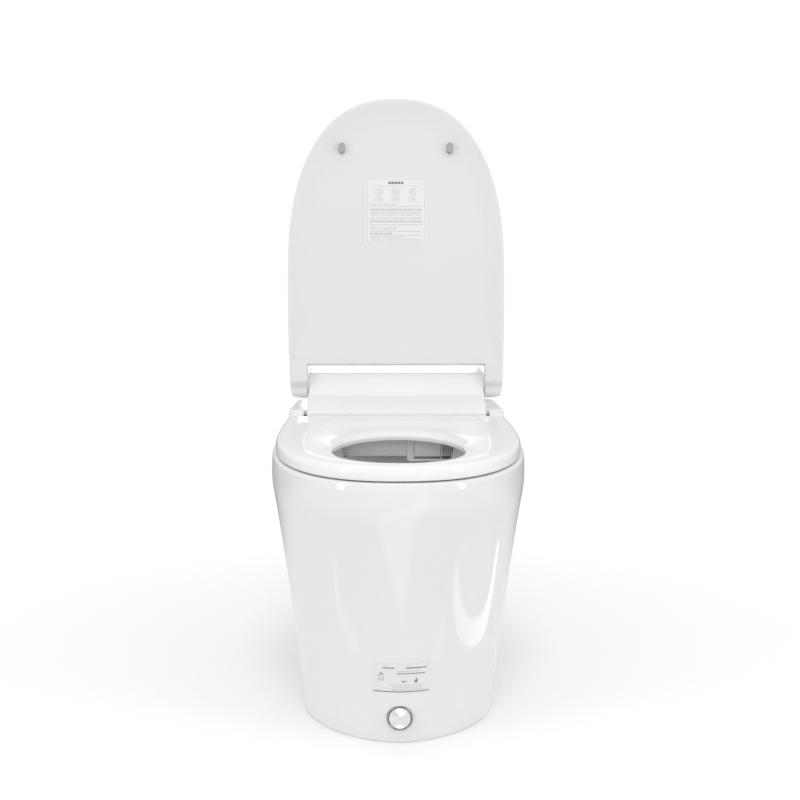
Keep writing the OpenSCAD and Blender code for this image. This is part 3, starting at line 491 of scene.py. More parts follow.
def build_gloss(tree, given):
    n = noise(tree, own_space(tree), given["Scale"], 5.0, 0.6)
    return {"Roughness": spread(tree, n, 0.32, 0.7, given["Smooth"], given["Rough"])}


def build_ripple(tree, given):
    space = own_space(tree)
    wide = noise(tree, space, given["Scale"], 1.0, 0.4)
    fine = noise(tree, space, given["Fine Scale"], 2.0, 0.5)
    return {"Height": maths(tree, "ADD", wide, maths(tree, "MULTIPLY", fine, given["Fine"]))}


def build_hairlines(tree, given):
    lines = noise(tree, own_space(tree, (240, 7, 90)), 1.0, 2.0, 0.6)
    other = noise(tree, own_space(tree, (9, 200, 60)), 1.0, 2.0, 0.6)
    worn = spread(tree, noise(tree, own_space(tree), given["Scale"]), 0.5, 0.72, 0.0, given["Amount"])
    marks = maths(tree, "MAXIMUM", spread(tree, lines, 0.66, 0.72, 0.0, 1.0),
                  spread(tree, other, 0.67, 0.72, 0.0, 1.0))
    return {"Mask": maths(tree, "MULTIPLY", marks, worn)}


def build_specks(tree, given):
    cells = add(tree, "TexVoronoi", Vector=own_space(tree), Scale=given["Scale"]).outputs["Distance"]
    few = noise(tree, own_space(tree), 31.0, 1.0, 0.5)
    dots = spread(tree, cells, 0.05, 0.09, 1.0, 0.0)
    return {"Mask": maths(tree, "MULTIPLY", dots, spread(tree, few, 0.56, 0.6, 0.0, given["Amount"]))}


def build_dust(tree, given):
    grains = noise(tree, own_space(tree), 900.0, 2.0, 0.7)
    patches = noise(tree, own_space(tree), given["Scale"], 4.0, 0.6)
    return {"Mask": maths(tree, "MULTIPLY", spread(tree, grains, 0.5, 0.75, 0.0, 1.0),
                          spread(tree, patches, 0.48, 0.8, 0.0, given["Amount"]))}


def build_brushed(tree, given):
    streaks = noise(tree, own_space(tree, (35, 1500, 1500)), 1.0, 3.0, 0.65)
    return {"Value": streaks, "Roughness": spread(tree, streaks, 0.3, 0.7, given["Smooth"], given["Rough"])}


def build_traces(tree, given):
    bricks = add(tree, "TexBrick", Vector=own_space(tree, (1, 1, 0.01)), Scale=given["Scale"])
    bricks.inputs["Mortar Size"].default_value = 0.06
    bricks.inputs["Mortar Smooth"].default_value = 0.1
    pads = add(tree, "TexVoronoi", Vector=own_space(tree, (1, 1, 0.01)), Scale=260.0).outputs["Distance"]
    return {"Mask": maths(tree, "MAXIMUM", bricks.outputs["Fac"], spread(tree, pads, 0.16, 0.2, 1.0, 0.0))}


def effects():
    """All shared effects by a short name."""
    grey = (0.8, 0.8, 0.8, 1)
    return {
        "tone": effect("Tone drift", [("Colour", "Color", grey), ("Shade", "Color", grey),
                                      ("Amount", "Float", 1.0),
                                      ("Scale", "Float", 5.0)], [("Color", "Color")], build_tone),
        "gloss": effect("Gloss drift", [("Smooth", "Float", 0.1), ("Rough", "Float", 0.2),
                                        ("Scale", "Float", 8.0)],
                        [("Roughness", "Float")], build_gloss),
        "ripple": effect("Surface ripple", [("Scale", "Float", 10.0), ("Fine Scale", "Float", 200.0),
                                            ("Fine", "Float", 0.1)], [("Height", "Float")], build_ripple),
        "hairlines": effect("Hairline wear", [("Scale", "Float", 6.0), ("Amount", "Float", 0.4)],
                            [("Mask", "Float")], build_hairlines),
        "specks": effect("Fine specks", [("Scale", "Float", 180.0), ("Amount", "Float", 0.3)],
                         [("Mask", "Float")], build_specks),
        "dust": effect("Settled dust", [("Scale", "Float", 7.0), ("Amount", "Float", 0.3)],
                       [("Mask", "Float")], build_dust),
        "brushed": effect("Brushed streaks", [("Smooth", "Float", 0.2), ("Rough", "Float", 0.4)],
                          [("Value", "Float"), ("Roughness", "Float")], build_brushed),
        "traces": effect("Board traces", [("Scale", "Float", 120.0)], [("Mask", "Float")], build_traces),
    }


def use(tree, group, **inputs):
    node = tree.nodes.new("ShaderNodeGroup")
    node.node_tree = group
    for key, value in inputs.items():
        socket = node.inputs[key.replace("_", " ")]
        if isinstance(value, bpy.types.NodeSocket):
            tree.links.new(value, socket)
        else:
            socket.default_value = value
    return node.outputs


def rgba(colour):
    return (*tuple(colour)[:3], 1.0)


def finish(name, colour, shade, tone=(0.6, 5.0), gloss=(0.1, 0.2, 9.0), ripple=(12.0, 260.0, 0.12, 0.0003),
           wear=(6.0, 0.3), dust=(7.0, 0.15), specks=None, metallic=0.0, coat=0.0, ior=1.5, brushed=None,
           wear_tint=None, emit=0.0):
    """A complete material: drifting colour and gloss, ripple, hairline wear and a trace of dust."""
    made = bpy.data.materials.get(name)
    if made:
        return made
    made = bpy.data.materials.new(name)
    made.use_nodes = True
    tree = made.node_tree
    tree.nodes.clear()
    fx = effects()
    shader = add(tree, "BsdfPrincipled", Metallic=metallic, IOR=ior)
    shader.inputs["Coat Weight"].default_value = coat
    shader.inputs["Coat Roughness"].default_value = 0.03
    tree.links.new(shader.outputs[0], add(tree, "OutputMaterial").inputs["Surface"])
    colour_now = use(tree, fx["tone"], Colour=rgba(colour), Shade=rgba(shade), Amount=tone[0],
                     Scale=tone[1])["Color"]
    marks = use(tree, fx["hairlines"], Scale=wear[0], Amount=wear[1])["Mask"]
    grime = use(tree, fx["dust"], Scale=dust[0], Amount=dust[1])["Mask"]
    if brushed:
        streaks = use(tree, fx["brushed"], Smooth=brushed[0], Rough=brushed[1])
        rough_now = streaks["Roughness"]
    else:
        rough_now = use(tree, fx["gloss"], Smooth=gloss[0], Rough=gloss[1], Scale=gloss[2])["Roughness"]
    if specks:
        dots = use(tree, fx["specks"], Scale=specks[0], Amount=specks[1])["Mask"]
        colour_now = colour_mix(tree, dots, colour_now, rgba(specks[2]))
    colour_now = colour_mix(tree, grime, colour_now, (0.42, 0.41, 0.39, 1))
    colour_now = colour_mix(tree, maths(tree, "MULTIPLY", marks, 0.35), colour_now,
                            rgba(wear_tint or [c * 0.8 for c in colour]))
    rough_now = maths(tree, "ADD", rough_now, maths(tree, "MULTIPLY", maths(tree, "ADD", marks, grime), 0.35))
    height = use(tree, fx["ripple"], Scale=ripple[0], Fine_Scale=ripple[1], Fine=ripple[2])["Height"]
    height = maths(tree, "SUBTRACT", height, maths(tree, "MULTIPLY", marks, 0.2))
    if brushed:
        height = maths(tree, "ADD", height, maths(tree, "MULTIPLY", streaks["Value"], 0.5))
    bump = add(tree, "Bump", Height=height, Distance=ripple[3])
    bump.inputs["Strength"].default_value = 1.0
    tree.links.new(colour_now, shader.inputs["Base Color"])
    tree.links.new(rough_now, shader.inputs["Roughness"])
    tree.links.new(bump.outputs[0], shader.inputs["Normal"])
    return made


def board_finish():
    """Green circuit board with bright traces and pads."""
    made = finish("Circuit board", (0.02, 0.12, 0.05), (0.015, 0.08, 0.035), gloss=(0.25, 0.4, 30.0),
                  coat=0.3)
    tree = made.node_tree
    shader = next(n for n in tree.nodes if n.type == "BSDF_PRINCIPLED")
    mask = use(tree, effects()["traces"], Scale=120.0)["Mask"]
    before = shader.inputs["Base Color"].links[0].from_socket
    tree.links.new(colour_mix(tree, mask, before, (0.10, 0.30, 0.12, 1)), shader.inputs["Base Color"])
    return made


def finishes():
    """Every material by the record's slot, and for the ring a chrome whose colour is darkened as painted shade."""
    scene = bpy.context.scene
    glaze, seat, lid, casing = (scene.toilet_pedestal.glaze, scene.toilet_seat.white, scene.toilet_lid.white,
                                scene.toilet_casing.white)

    def shade_of(c, by=0.965, warm=0.0):
        return [c[0] * by, c[1] * by * (1 - warm), c[2] * by * (1 - 2 * warm)]

    steel = dict(gloss=(0.2, 0.35, 20.0), ripple=(60.0, 700.0, 0.3, 0.0001), metallic=1.0, wear=(14.0, 0.7),
                 wear_tint=(0.5, 0.5, 0.5))
    dull = dict(gloss=(0.42, 0.6, 25.0), ripple=(40.0, 1400.0, 0.9, 0.00012), wear=(11.0, 0.5))
    return {
        "ceramic": finish("Vitreous glaze", glaze, shade_of(glaze, 0.975, 0.004), tone=(0.7, 3.0),
                          gloss=(0.035, 0.075, 5.0), ripple=(11.0, 150.0, 0.02, 0.0007), wear=(3.0, 0.10),
                          dust=(4.0, 0.05), specks=(140.0, 0.35, (0.62, 0.60, 0.56)), coat=0.25, ior=1.52),
        "seat_white": finish("Seat plastic", seat, shade_of(seat, 0.975, 0.002), tone=(0.6, 5.0),
                             gloss=(0.09, 0.15, 8.0), ripple=(24.0, 620.0, 0.05, 0.00022), wear=(5.0, 0.22),
                             dust=(6.0, 0.05), coat=0.15),
        "lid_white": finish("Lid plastic", lid, shade_of(lid, 0.975, 0.003), tone=(0.6, 3.5),
                            gloss=(0.07, 0.13, 6.0), ripple=(9.0, 520.0, 0.03, 0.00045), wear=(4.0, 0.18),
                            dust=(5.0, 0.06), coat=0.15),
        "casing_white": finish("Casing plastic", casing, shade_of(casing, 0.972, 0.004), tone=(0.7, 7.0),
                               gloss=(0.12, 0.2, 12.0), ripple=(30.0, 800.0, 0.08, 0.0002), wear=(7.0, 0.25),
                               dust=(9.0, 0.10), coat=0.1),
        "wand_white": finish("Wand plastic", (0.78, 0.79, 0.79), (0.72, 0.73, 0.74), gloss=(0.14, 0.24, 30.0),
                             ripple=(80.0, 900.0, 0.2, 0.0001), wear=(20.0, 0.4)),
        "trap_grey": finish("Grey moulding", (0.55, 0.57, 0.57), (0.48, 0.5, 0.5), gloss=(0.25, 0.4, 12.0)),
        "rubber_grey": finish("Grey rubber", (0.36, 0.37, 0.385), (0.30, 0.31, 0.32), tone=(0.8, 30.0),
                              gloss=(0.5, 0.68, 40.0), ripple=(90.0, 2200.0, 0.8, 0.0001), wear=(16.0, 0.3),
                              dust=(20.0, 0.35)),
        "hose_grey": finish("Hose rubber", (0.42, 0.43, 0.44), (0.36, 0.37, 0.38), gloss=(0.4, 0.55, 20.0),
                            ripple=(50.0, 900.0, 0.5, 0.00015)),
        "steel": finish("Stainless steel", (0.62, 0.63, 0.64), (0.54, 0.55, 0.56), brushed=(0.22, 0.4),
                        **steel),
        "motor_steel": finish("Plated motor can", (0.5, 0.51, 0.52), (0.42, 0.43, 0.44), brushed=(0.3, 0.45),
                              **steel),
        "chrome": finish("Satin chrome", (0.80, 0.812, 0.818), (0.72, 0.73, 0.74), tone=(0.5, 60.0),
                         gloss=(0.10, 0.2, 70.0), ripple=(160.0, 1800.0, 0.15, 0.00006), metallic=1.0,
                         wear=(40.0, 0.6), dust=(60.0, 0.2), wear_tint=(0.5, 0.5, 0.52)),
        # The ring's chrome: the cap's chrome with its colour darkened, painted shade for the ring's dark look.
        "ring_chrome_painted_shade": finish("Chrome with painted shade", (0.4, 0.405, 0.41), (0.34, 0.345, 0.35), tone=(0.5, 60.0),
                              gloss=(0.12, 0.24, 70.0), ripple=(160.0, 1800.0, 0.15, 0.00006), metallic=1.0,
                              wear=(40.0, 0.6), dust=(60.0, 0.2), wear_tint=(0.3, 0.3, 0.31)),
        "brass": finish("Plated brass", (0.6, 0.46, 0.22), (0.5, 0.38, 0.18), brushed=(0.2, 0.36), **steel),
        "black_plastic": finish("Black moulding", (0.035, 0.035, 0.038), (0.05, 0.05, 0.052),
                                dust=(14.0, 0.5), **dull),
        "grey_plastic": finish("Mid grey moulding", (0.2, 0.205, 0.21), (0.25, 0.255, 0.26),
                               dust=(14.0, 0.4), **dull),
        "pale_plastic": finish("Acetal", (0.62, 0.62, 0.6), (0.56, 0.56, 0.54), **dull),
        "board_green": board_finish(),
        "heater_foil": finish("Heater foil", (0.7, 0.71, 0.72), (0.6, 0.61, 0.62), brushed=(0.2, 0.35),
                              **steel),
        "label_film": finish("Label film", (0.72, 0.724, 0.726), (0.69, 0.694, 0.696), tone=(0.6, 40.0),
                             gloss=(0.32, 0.42, 60.0), ripple=(120.0, 2600.0, 0.3, 0.00005),
                             wear=(30.0, 0.25)),
        "ink": finish("Printing ink", (0.16, 0.165, 0.17), (0.22, 0.225, 0.23), tone=(0.9, 300.0),
                      gloss=(0.4, 0.55, 90.0), ripple=(300.0, 3000.0, 0.5, 0.00003)),
        "ink_pale": finish("Pale printing ink", (0.42, 0.43, 0.44), (0.5, 0.51, 0.52), tone=(0.9, 300.0),
                           gloss=(0.4, 0.55, 90.0), ripple=(300.0, 3000.0, 0.5, 0.00003)),
    }


# ---------------------------------------------------------------- pedestal
WIDEST_Z = RIM_Z - 40 * MM
BOWL_MID, BOWL_HALF_W, BOWL_HALF_L = 303 * MM, 125 * MM, 185 * MM
SUMP_MID = 335 * MM
BUTTON_Z = 42 * MM


def flare(z):
    """Share of the way from the foot's outline to the widest one, levelling off near the rim."""
    share = z / WIDEST_Z
    straight, curved, power = 0.35, 0.65, 1.25
    start, end = 0.88, 1.02
    if share < start:
        return straight * share + curved * share ** power
    if share >= end:
        return 1.0
    low = straight * start + curved * start ** power
    slope = (straight + curved * power * start ** (power - 1)) * (end - start)
    t = (share - start) / (end - start)
    return low * (2 * t ** 3 - 3 * t * t + 1) + slope * (t ** 3 - 2 * t * t + t) + (3 * t * t - 2 * t ** 3)


def wall_sizes(z, inset=0.0):
    """Half width, front, middle and fullness of the body's outline at a height."""
    body = bpy.context.scene.toilet_pedestal
    f = flare(z)
    return (body.foot_half_w + (BODY_HALF_W - body.foot_half_w) * f - inset,
            BODY_FRONT - body.foot_set_back * (1 - f) - inset,
            (300 + (214 - 300) * f) * MM,
            FOOT_FULLNESS + (FULLNESS - FOOT_FULLNESS) * f)


def body_outline(z, inset=0.0):
    a, front, mid, n = wall_sizes(z, inset)
    return outline(a, front, mid, n, -BODY_BACK + inset, a - (7 * flare(z) + 3) * MM, 22 * MM - inset / 2)


def wall_point(x, z, out=0.0):
    """The place on the body's front wall at a sideways distance and a height."""
    a, front, mid, n = wall_sizes(z)
    s = mid + (front - mid) * (1 - abs(x / a) ** n) ** (1 / n)
    return Vector((x, HINGE_Y - s - out, z))


def shell_rows():
    """Rings of the ceramic wall: up the outside, over the rim, down the bowl and back up beneath."""
    body = bpy.context.scene.toilet_pedestal
    wall = body.wall
    rings = [raised(body_outline(0, i * MM), z * MM) for i,
             z in ((3.2, 0.0), (1.7, 0.5), (0.7, 1.8), (0.15, 4.0))]
    z = 9.0
    while z < 398:
        inset = 0.0 if z < 372 else 0.8 * ((z - 372) / 27) ** 2
        rings.append(raised(body_outline(z * MM, inset * MM), z * MM))
        z += 13 if z < 340 else 6.5
    edge = body.rim_edge
    for i in range(1, 9):
        t = pi / 2 * i / 8
        rings.append(raised(body_outline(WIDEST_Z, 0.8 * MM + (edge - 0.8 * MM) * (1 - cos(t))),
                            RIM_Z - 6 * MM * (1 - sin(t))))
    rim = body_outline(WIDEST_Z, edge)

    def bowl(grow):
        return oval_towards(rim, BOWL_MID, BOWL_HALF_W + grow, BOWL_HALF_L + grow)

    def sump(r):
        return oval_towards(rim, SUMP_MID, r, r)

    def bowl_wall(f, grow):
        return mixed(bowl(grow), sump(32 * MM + grow), f ** 1.6)

    for f in (0.3, 0.6, 0.85):
        rings.append(raised(mixed(rim, bowl(4 * MM), f), RIM_Z))
    for i in range(7):
        t = pi / 2 * i / 6
        rings.append(raised(bowl(4 * MM * (1 - sin(t))), RIM_Z - 5 * MM * (1 - cos(t))))
    depth = RIM_Z - body.sump_z
    for i in range(2, 25):
        f = 0.03 + 0.94 * i / 24
        rings.append(raised(bowl_wall(f, 0), RIM_Z - depth * f))
    for r, z in ((30.5, 203), (28.4, 200.5), (27.2, 197), (27, 193), (27, 188)):
        rings.append(raised(sump(r * MM), z * MM))
    for f in (0.94, 0.8, 0.6, 0.4, 0.2):
        rings.append(raised(bowl_wall(f, wall), RIM_Z - depth * f - wall))
    deck = RIM_Z - 24 * MM
    rings.append(raised(bowl(wall + 4 * MM), deck))
    rings.append(raised(body_outline(WIDEST_Z, wall), deck))
    for z in (360, 330, 280, 220, 160, 90, 30, 0):
        rings.append(raised(body_outline(z * MM, wall), z * MM))
    return rings


def button_seat():
    """Distance forward of the foot button's flat seat in the wall."""
    return BODY_FRONT - bpy.context.scene.toilet_pedestal.foot_set_back * (1 - flare(BUTTON_Z)) - 4 * MM


class PedestalBuild(bpy.types.Operator):
    """Make the glazed pedestal with its bowl, its ports and the opening for the wash unit"""
    bl_idname = "toilet.pedestal"
    bl_label = "Pedestal"

    def execute(self, context):
        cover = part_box("tray_cover")[1].x
        bay = cover + 4.2 * MM
        back = -BODY_BACK
        seat = button_seat()
        ports = [rod((x, HINGE_Y - back - 20 * MM, 0.15), (0, 1, 0), 16 * MM, 40 * MM)
                 for x in (-0.092, 0.092)]
        anchors = [rod((side * 0.120, HINGE_Y - 60 * MM, 26 * MM), (side, 0, 0), 4.5 * MM, 80 * MM, 32)
                   for side in (-1, 1)]
        hole = rod((0, HINGE_Y - seat + 40 * MM, BUTTON_Z), (0, -1, 0), 18 * MM, 120 * MM, 64)
        recess = rod((0, HINGE_Y - seat + 1.2 * MM, BUTTON_Z), (0, -1, 0), 19.7 * MM, 80 * MM, 96)
        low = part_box("casing_base")[0].z - 1 * MM
        unit = [corner.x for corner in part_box("wash_bezel")]
        opening = forward_block(-bay, bay, -124 * MM, 182 * MM, low, RIM_Z + 10 * MM)
        under = forward_block(unit[0] - MM, unit[1] + MM, 158 * MM, 182 * MM,
                              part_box("wash_bezel")[0].z - 0.8 * MM,
                              RIM_Z + 9 * MM)
        screws = [rod((x, HINGE_Y - s, RIM_Z - 32 * MM), (0, 0, 1), 2.3 * MM, 40 * MM, 24)
                  for x in (-0.135, 0.135) for s in (-0.120, 0.008)]
        jet = rod((86 * MM, HINGE_Y - 130 * MM, RIM_Z - 75 * MM), (0, -1, 0), 12.2 * MM, 85 * MM, 48)
        obj = piece("pedestal", lofted(shell_rows(), closed=True))
        carved(obj, [opening, under, jet, *screws, *ports, *anchors, hole, recess], sharp=32)
        placed(obj, finishes()["ceramic"], "ceramic_body")
        return {"FINISHED"}


# ---------------------------------------------------------------- seat
def seat_outline(inset):
    seat = bpy.context.scene.toilet_seat
    return outline(seat.half_w - inset, seat.front - inset, 214 * MM, FULLNESS, seat.rear + inset * 0.4,
                   seat.half_w - 3.5 * MM - inset, 5 * MM)


def seat_opening(outer, grow):
    seat = bpy.context.scene.toilet_seat
    return oval_towards(outer, 339 * MM, seat.open_half_w + grow, seat.open_half_l + grow)


SEAT_TOP = [(0.0, 3.0), (0.0, 5.0), (0.0, 8.0), (0.004, 11.5), (0.02, 15.6), (0.05, 18.6), (0.10, 20.3),
            (0.18, 20.95), (0.30, 21.0), (0.44, 20.5), (0.57, 19.5), (0.68, 18.2), (0.79, 16.4), (0.88, 14.4),
            (0.945, 12.2), (0.985, 9.6), (1.0, 6.8), (1.0, 4.5), (1.0, 3.0)]
SEAT_HOLLOW = [(0.965, 3.0), (0.94, 9.0), (0.86, 11.6), (0.65, 14.8), (0.4, 17.2), (0.17, 18.0), (0.09, 16.5),
               (0.045, 10.0), (0.045, 3.0)]


class SeatBuild(bpy.types.Operator):
    """Make the seat ring, the plate beneath it with its hinge lugs, and its rubber buffers"""
    bl_idname = "toilet.seat"
    bl_label = "Seat ring"

    def execute(self, context):
        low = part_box("seat_base")[0].z
        outer = seat_outline(0)
        hole = seat_opening(outer, 0)
        rows = smooth_rows(SEAT_TOP, 3) + SEAT_HOLLOW
        ring = lofted([raised(mixed(outer, hole, f), low + h * MM) for f, h in rows], closed=True)
        placed(piece("seat_ring", ring, 40), finishes()["seat_white"], "seat_top")

        edge = seat_outline(0.5 * MM)
        plate_rows = [(0.0, 3.0), (0.0, 1.2), (0.004, 0.4), (0.012, 0.0), (0.5, 0.0), (0.985, 0.0),
                      (0.995, 0.4),
                      (1.0, 1.2), (1.0, 3.0), (0.5, 3.0)]
        inner = seat_opening(edge, 0.5 * MM)
        plate = piece("seat_underside", lofted([raised(mixed(edge, inner, f), low + h * MM) for f,
                                                h in plate_rows],
                                               closed=True))
        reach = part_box("seat_pins")[1].x + 4 * MM
        lug_w = reach - SEAT_LUG_IN
        lugs = []
        for side in (-1, 1):
            x0, x1 = sorted((side * SEAT_LUG_IN, side * (SEAT_LUG_IN + lug_w)))
            pivot = HINGE_Y - SEAT_PIVOT.y
            eye = rod((x0, SEAT_PIVOT.y, SEAT_PIVOT.z), (1, 0, 0), 6.8 * MM, x1 - x0, 64)
            rounded(eye, crisp_edges(eye, 60), 1.2 * MM)
            lugs += [eye,
                     forward_block(x0, x1, pivot, 56.8 * MM, low + 0.5 * MM, SEAT_PIVOT.z + 4 * MM, 1.2 * MM),
                     forward_block(x0, x1, pivot, 69 * MM, low + 0.5 * MM, low + 3 * MM)]
        carved(plate, lugs, "UNION")
        placed(plate, finishes()["seat_white"], "seat_base")
        refined("seat_bumpers", "seat_buffers", 1.2 * MM)
        return {"FINISHED"}


# ---------------------------------------------------------------- lid, drawn closed about its pin
LID_MID = 212 * MM
EAR_R = 12 * MM
LID_TOP = 9 * MM
LID_FALL = 0.02
LINER_DROP = 9 * MM
LID_SKIN = [(120, 0.0), (96, 0.2), (70, 0.6), (52, 1.2), (38, 2.2), (27, 3.5), (18, 5.4), (12, 7.2), (7, 9.6),
            (3.6, 12.2), (1.6, 15.0), (0.5, 18.2)]
LINER_COVE = [(5.75, 0.3), (7.0, 0.45), (9.5, 1.1), (13.5, 2.5), (19, 4.3), (26, 6.2), (34, 7.9), (42, 8.8),
              (50, 9.0)]
LID_HOLLOW = [(8.0, 13.0), (8.4, 15.4), (20, 9.4), (40, 5.6), (120, 3.0)]


def lid_place():
    return Matrix.Translation(LID_PIVOT) @ Matrix.Rotation(-pi / 2 - bpy.context.scene.toilet_lid.lean, 4,
                                                           "X")


def lid_ring(inset, v, fall, rear, corner):
    lid = bpy.context.scene.toilet_lid
    back = rear + inset * 0.2
    side = lid.half_w - 5.5 * MM * ((LID_MID - back) / (LID_MID + EAR_R)) ** 2
    points = outline(lid.half_w - inset, lid.length - inset, LID_MID, FULLNESS, back, side - inset, corner)
    place = lid_place()
    return [place @ Vector((x, -u, v - fall * u)) for x, u in points]


def lid_profile():
    """Side view of the closed lid: round ends at the pin, the rest left whole. Points are (u, v)."""
    drop = bpy.context.scene.toilet_lid.rim_drop
    points = [(-EAR_R * sin(pi / 2 * i / 10), LID_TOP * cos(pi / 2 * i / 10)) for i in range(11)]
    points += [(-EAR_R * cos(pi / 2 * i / 10), -EAR_R * sin(pi / 2 * i / 10)) for i in range(1, 11)]
    for i in range(1, 9):
        t = i / 8
        points.append(((3 + 14 * t) * MM, -EAR_R - (drop - EAR_R) * (3 * t * t - 2 * t ** 3)))
    far = 0.6
    return points + [(22 * MM, -drop - 8 * MM), (far, -drop - 8 * MM), (far, 40 * MM), (0.001, 40 * MM)]


class LidBuild(bpy.types.Operator):
    """Make the lid with its ears and window, the liner inside it and its rubber buffers"""
    bl_idname = "toilet.lid"
    bl_label = "Lid"

    def execute(self, context):
        lid = context.scene.toilet_lid
        drop, rear = lid.rim_drop, -EAR_R - 1 * MM
        skin = [(i * MM, LID_TOP - v * MM, LID_FALL) for i, v in smooth_rows(LID_SKIN, 2)]
        rows = [(170 * MM, LID_TOP, LID_FALL), (145 * MM, LID_TOP, LID_FALL)] + skin
        rows += [(0.0, LID_TOP - 21.5 * MM, LID_FALL * 0.6), (0.0, 4 * MM - drop, 0),
                 (0.25 * MM, 1.6 * MM - drop, 0),
                 (0.9 * MM, 0.4 * MM - drop, 0), (1.9 * MM, -drop, 0), (5.0 * MM, -drop, 0)]
        cover = piece("lid_cover", lofted([lid_ring(i, v, fall, rear, 9 * MM) for i, v, fall in rows]))
        inner_rear = lid.window + 7 * MM
        hollow = [(5.9 * MM, -drop - 4 * MM, 0), (5.9 * MM, 0.4 * MM - drop, 0),
                  (6.3 * MM, 2.4 * MM - drop, 0)]
        hollow += [(i * MM, LID_TOP - v * MM, LID_FALL) for i, v in LID_HOLLOW]
        inside = lofted([lid_ring(i, v, fall, inner_rear, 6 * MM) for i, v, fall in hollow])
        window_w = LID_WINDOW_W
        window = block((-window_w, -lid.window, -60 * MM), (window_w, 40 * MM, 60 * MM))
        bmesh.ops.transform(window, matrix=lid_place(), verts=window.verts)
        carved(cover, [inside, window])
        turn = Matrix(((0, 0, 1, 0), (-1, 0, 0, 0), (0, 1, 0, 0), (0, 0, 0, 1)))
        side_view = drawn_from(lid_profile(), lid_place() @ turn @ Matrix.Translation((0, 0, -0.25)), 0.5)
        carved(cover, [side_view], "INTERSECT")
        soften(cover, 0.9 * MM, 40)
        placed(cover, finishes()["lid_white"], "lid_shell")

        panel_rear = inner_rear + 0.1 * MM
        flat = LINER_DROP - drop
        back = [(15, 7.0), (9.6, 4.4), (6.0, 1.6)]
        rows = [(i * MM, flat + 1.6 * MM) for i in (172, 100, 60)] + [(i * MM, v * MM - drop) for i,
                                                                      v in back]
        rows += [(i * MM, v * MM - drop) for i, v in smooth_rows(LINER_COVE, 2)] + [(i * MM, flat)
                                                                                    for i in (70, 100, 140,
                                                                                              172)]
        liner = lofted([lid_ring(i, v, 0, panel_rear + 1.8 * max(0, min(i, 50 * MM) - 8 * MM), 8 * MM) for i,
                        v in rows])
        placed(piece("lid_liner", liner, 50), finishes()["lid_white"], "lid_panel")
        refined("lid_bumpers", "lid_buffers", 1.6 * MM)
        return {"FINISHED"}


# ---------------------------------------------------------------- casing behind the seat
CASING_BACK = -(BODY_BACK - 4 * MM)
PLATE_Z = RIM_Z + 4 * MM
DECK_Z = RIM_Z + 23 * MM
DECK_FRONT = 18 * MM
FOOT_S = 56.4 * MM
SIDE_VIEW = Matrix(((0, 0, 1, 0), (-1, 0, 0, HINGE_Y), (0, 1, 0, 0), (0, 0, 0, 1)))   # (forward, up, right)


def filleted(points, radii, steps=8):
    """A closed outline with its corners rounded by the given radii."""
    out = []
    for i, (px, py) in enumerate(points):
        r = radii[i]
        if r == 0:
            out.append((px, py))
            continue
        p = Vector((px, py))
        a = (Vector(points[i - 1]) - p).normalized()
        b = (Vector(points[(i + 1) % len(points)]) - p).normalized()
        half = a.angle(b) / 2
        middle = p + (a + b).normalized() * (r / sin(half))
        start = p + a * (r / tan(half)) - middle
        turn = (pi - 2 * half) * (1 if start.x * (p - middle).y - start.y * (p - middle).x > 0 else -1)
        for k in range(steps + 1):
            t = turn * k / steps
            out.append((middle.x + start.x * cos(t) - start.y * sin(t), middle.y + start.x * sin(t)
                        + start.y * cos(t)))
    return out


def hood_outline(w):
    """Side view of the raised casing as (forward, height), drawn in by a wall's thickness."""
    top = bpy.context.scene.toilet_casing.top_z
    low = PLATE_Z - (1 * MM if w else 0)
    points = [(FOOT_S - w * 1.2, low), (FOOT_S - w * 1.2, RIM_Z + 26.5 * MM - w),
              (16 * MM - w * 0.75, RIM_Z + 49.5 * MM - w * 0.75), (-4 * MM - w * 0.8, top - w),
              (CASING_BACK + 26 * MM, top - w), (CASING_BACK + 10 * MM + w * 0.3, top - 7 * MM - w * 0.8),
              (CASING_BACK + w, top - 26 * MM), (CASING_BACK + w, low)]
    return filleted(points, [0, 6 * MM, 14 * MM, 3.5 * MM, 16 * MM, 12 * MM, 16 * MM, 0])


def hood(half_w, w, edge):
    """The raised casing as a solid bar across the toilet."""
    place = Matrix.Translation((-half_w, 0, 0)) @ SIDE_VIEW
    bm = drawn_from(hood_outline(w), place, 2 * half_w)
    if edge:
        ends = [e for e in crisp_edges(bm, 60) if abs(e.verts[0].co.x) > half_w - MM
                and abs(e.verts[0].co.x - e.verts[1].co.x) < MM and max(v.co.z for v in e.verts) > PLATE_Z
                + MM]
        rounded(bm, ends, edge, 5)
    return bm


def flared(bm, low, high):
    """Spreads the casing's sides outwards in a soft curve at their foot."""
    out = bpy.context.scene.toilet_casing.flare
    for i in range(1, 12):
        z = low + (high - low) * i / 12
        bmesh.ops.bisect_plane(bm, geom=list(bm.verts) + list(bm.edges) + list(bm.faces), plane_co=(0, 0, z),
                               plane_no=(0, 0, 1))
    for v in bm.verts:
        if v.co.z < high and abs(v.co.x) > 0.14:
            v.co.x += out * ((high - v.co.z) / (high - low)) ** 2 * (1 if v.co.x > 0 else -1)
    return bm


def deck_points(inner, inset):
    """Seen from above: the low deck beside the raised casing, on the right."""
    loop = [(x, s) for x, s in body_outline(WIDEST_Z, bpy.context.scene.toilet_pedestal.rim_edge + inset)]
    side = sorted(((x, s) for x, s in loop if x > inner + MM and s < DECK_FRONT - inset - MM),
                  key=lambda p: atan2(p[1] + 0.1, p[0] - 0.15))
    back = min(s for _, s in loop)
    widest = max(x for x, s in loop if s < DECK_FRONT)
    return [(inner, back)] + side + [(widest, DECK_FRONT - inset), (inner, DECK_FRONT - inset)]


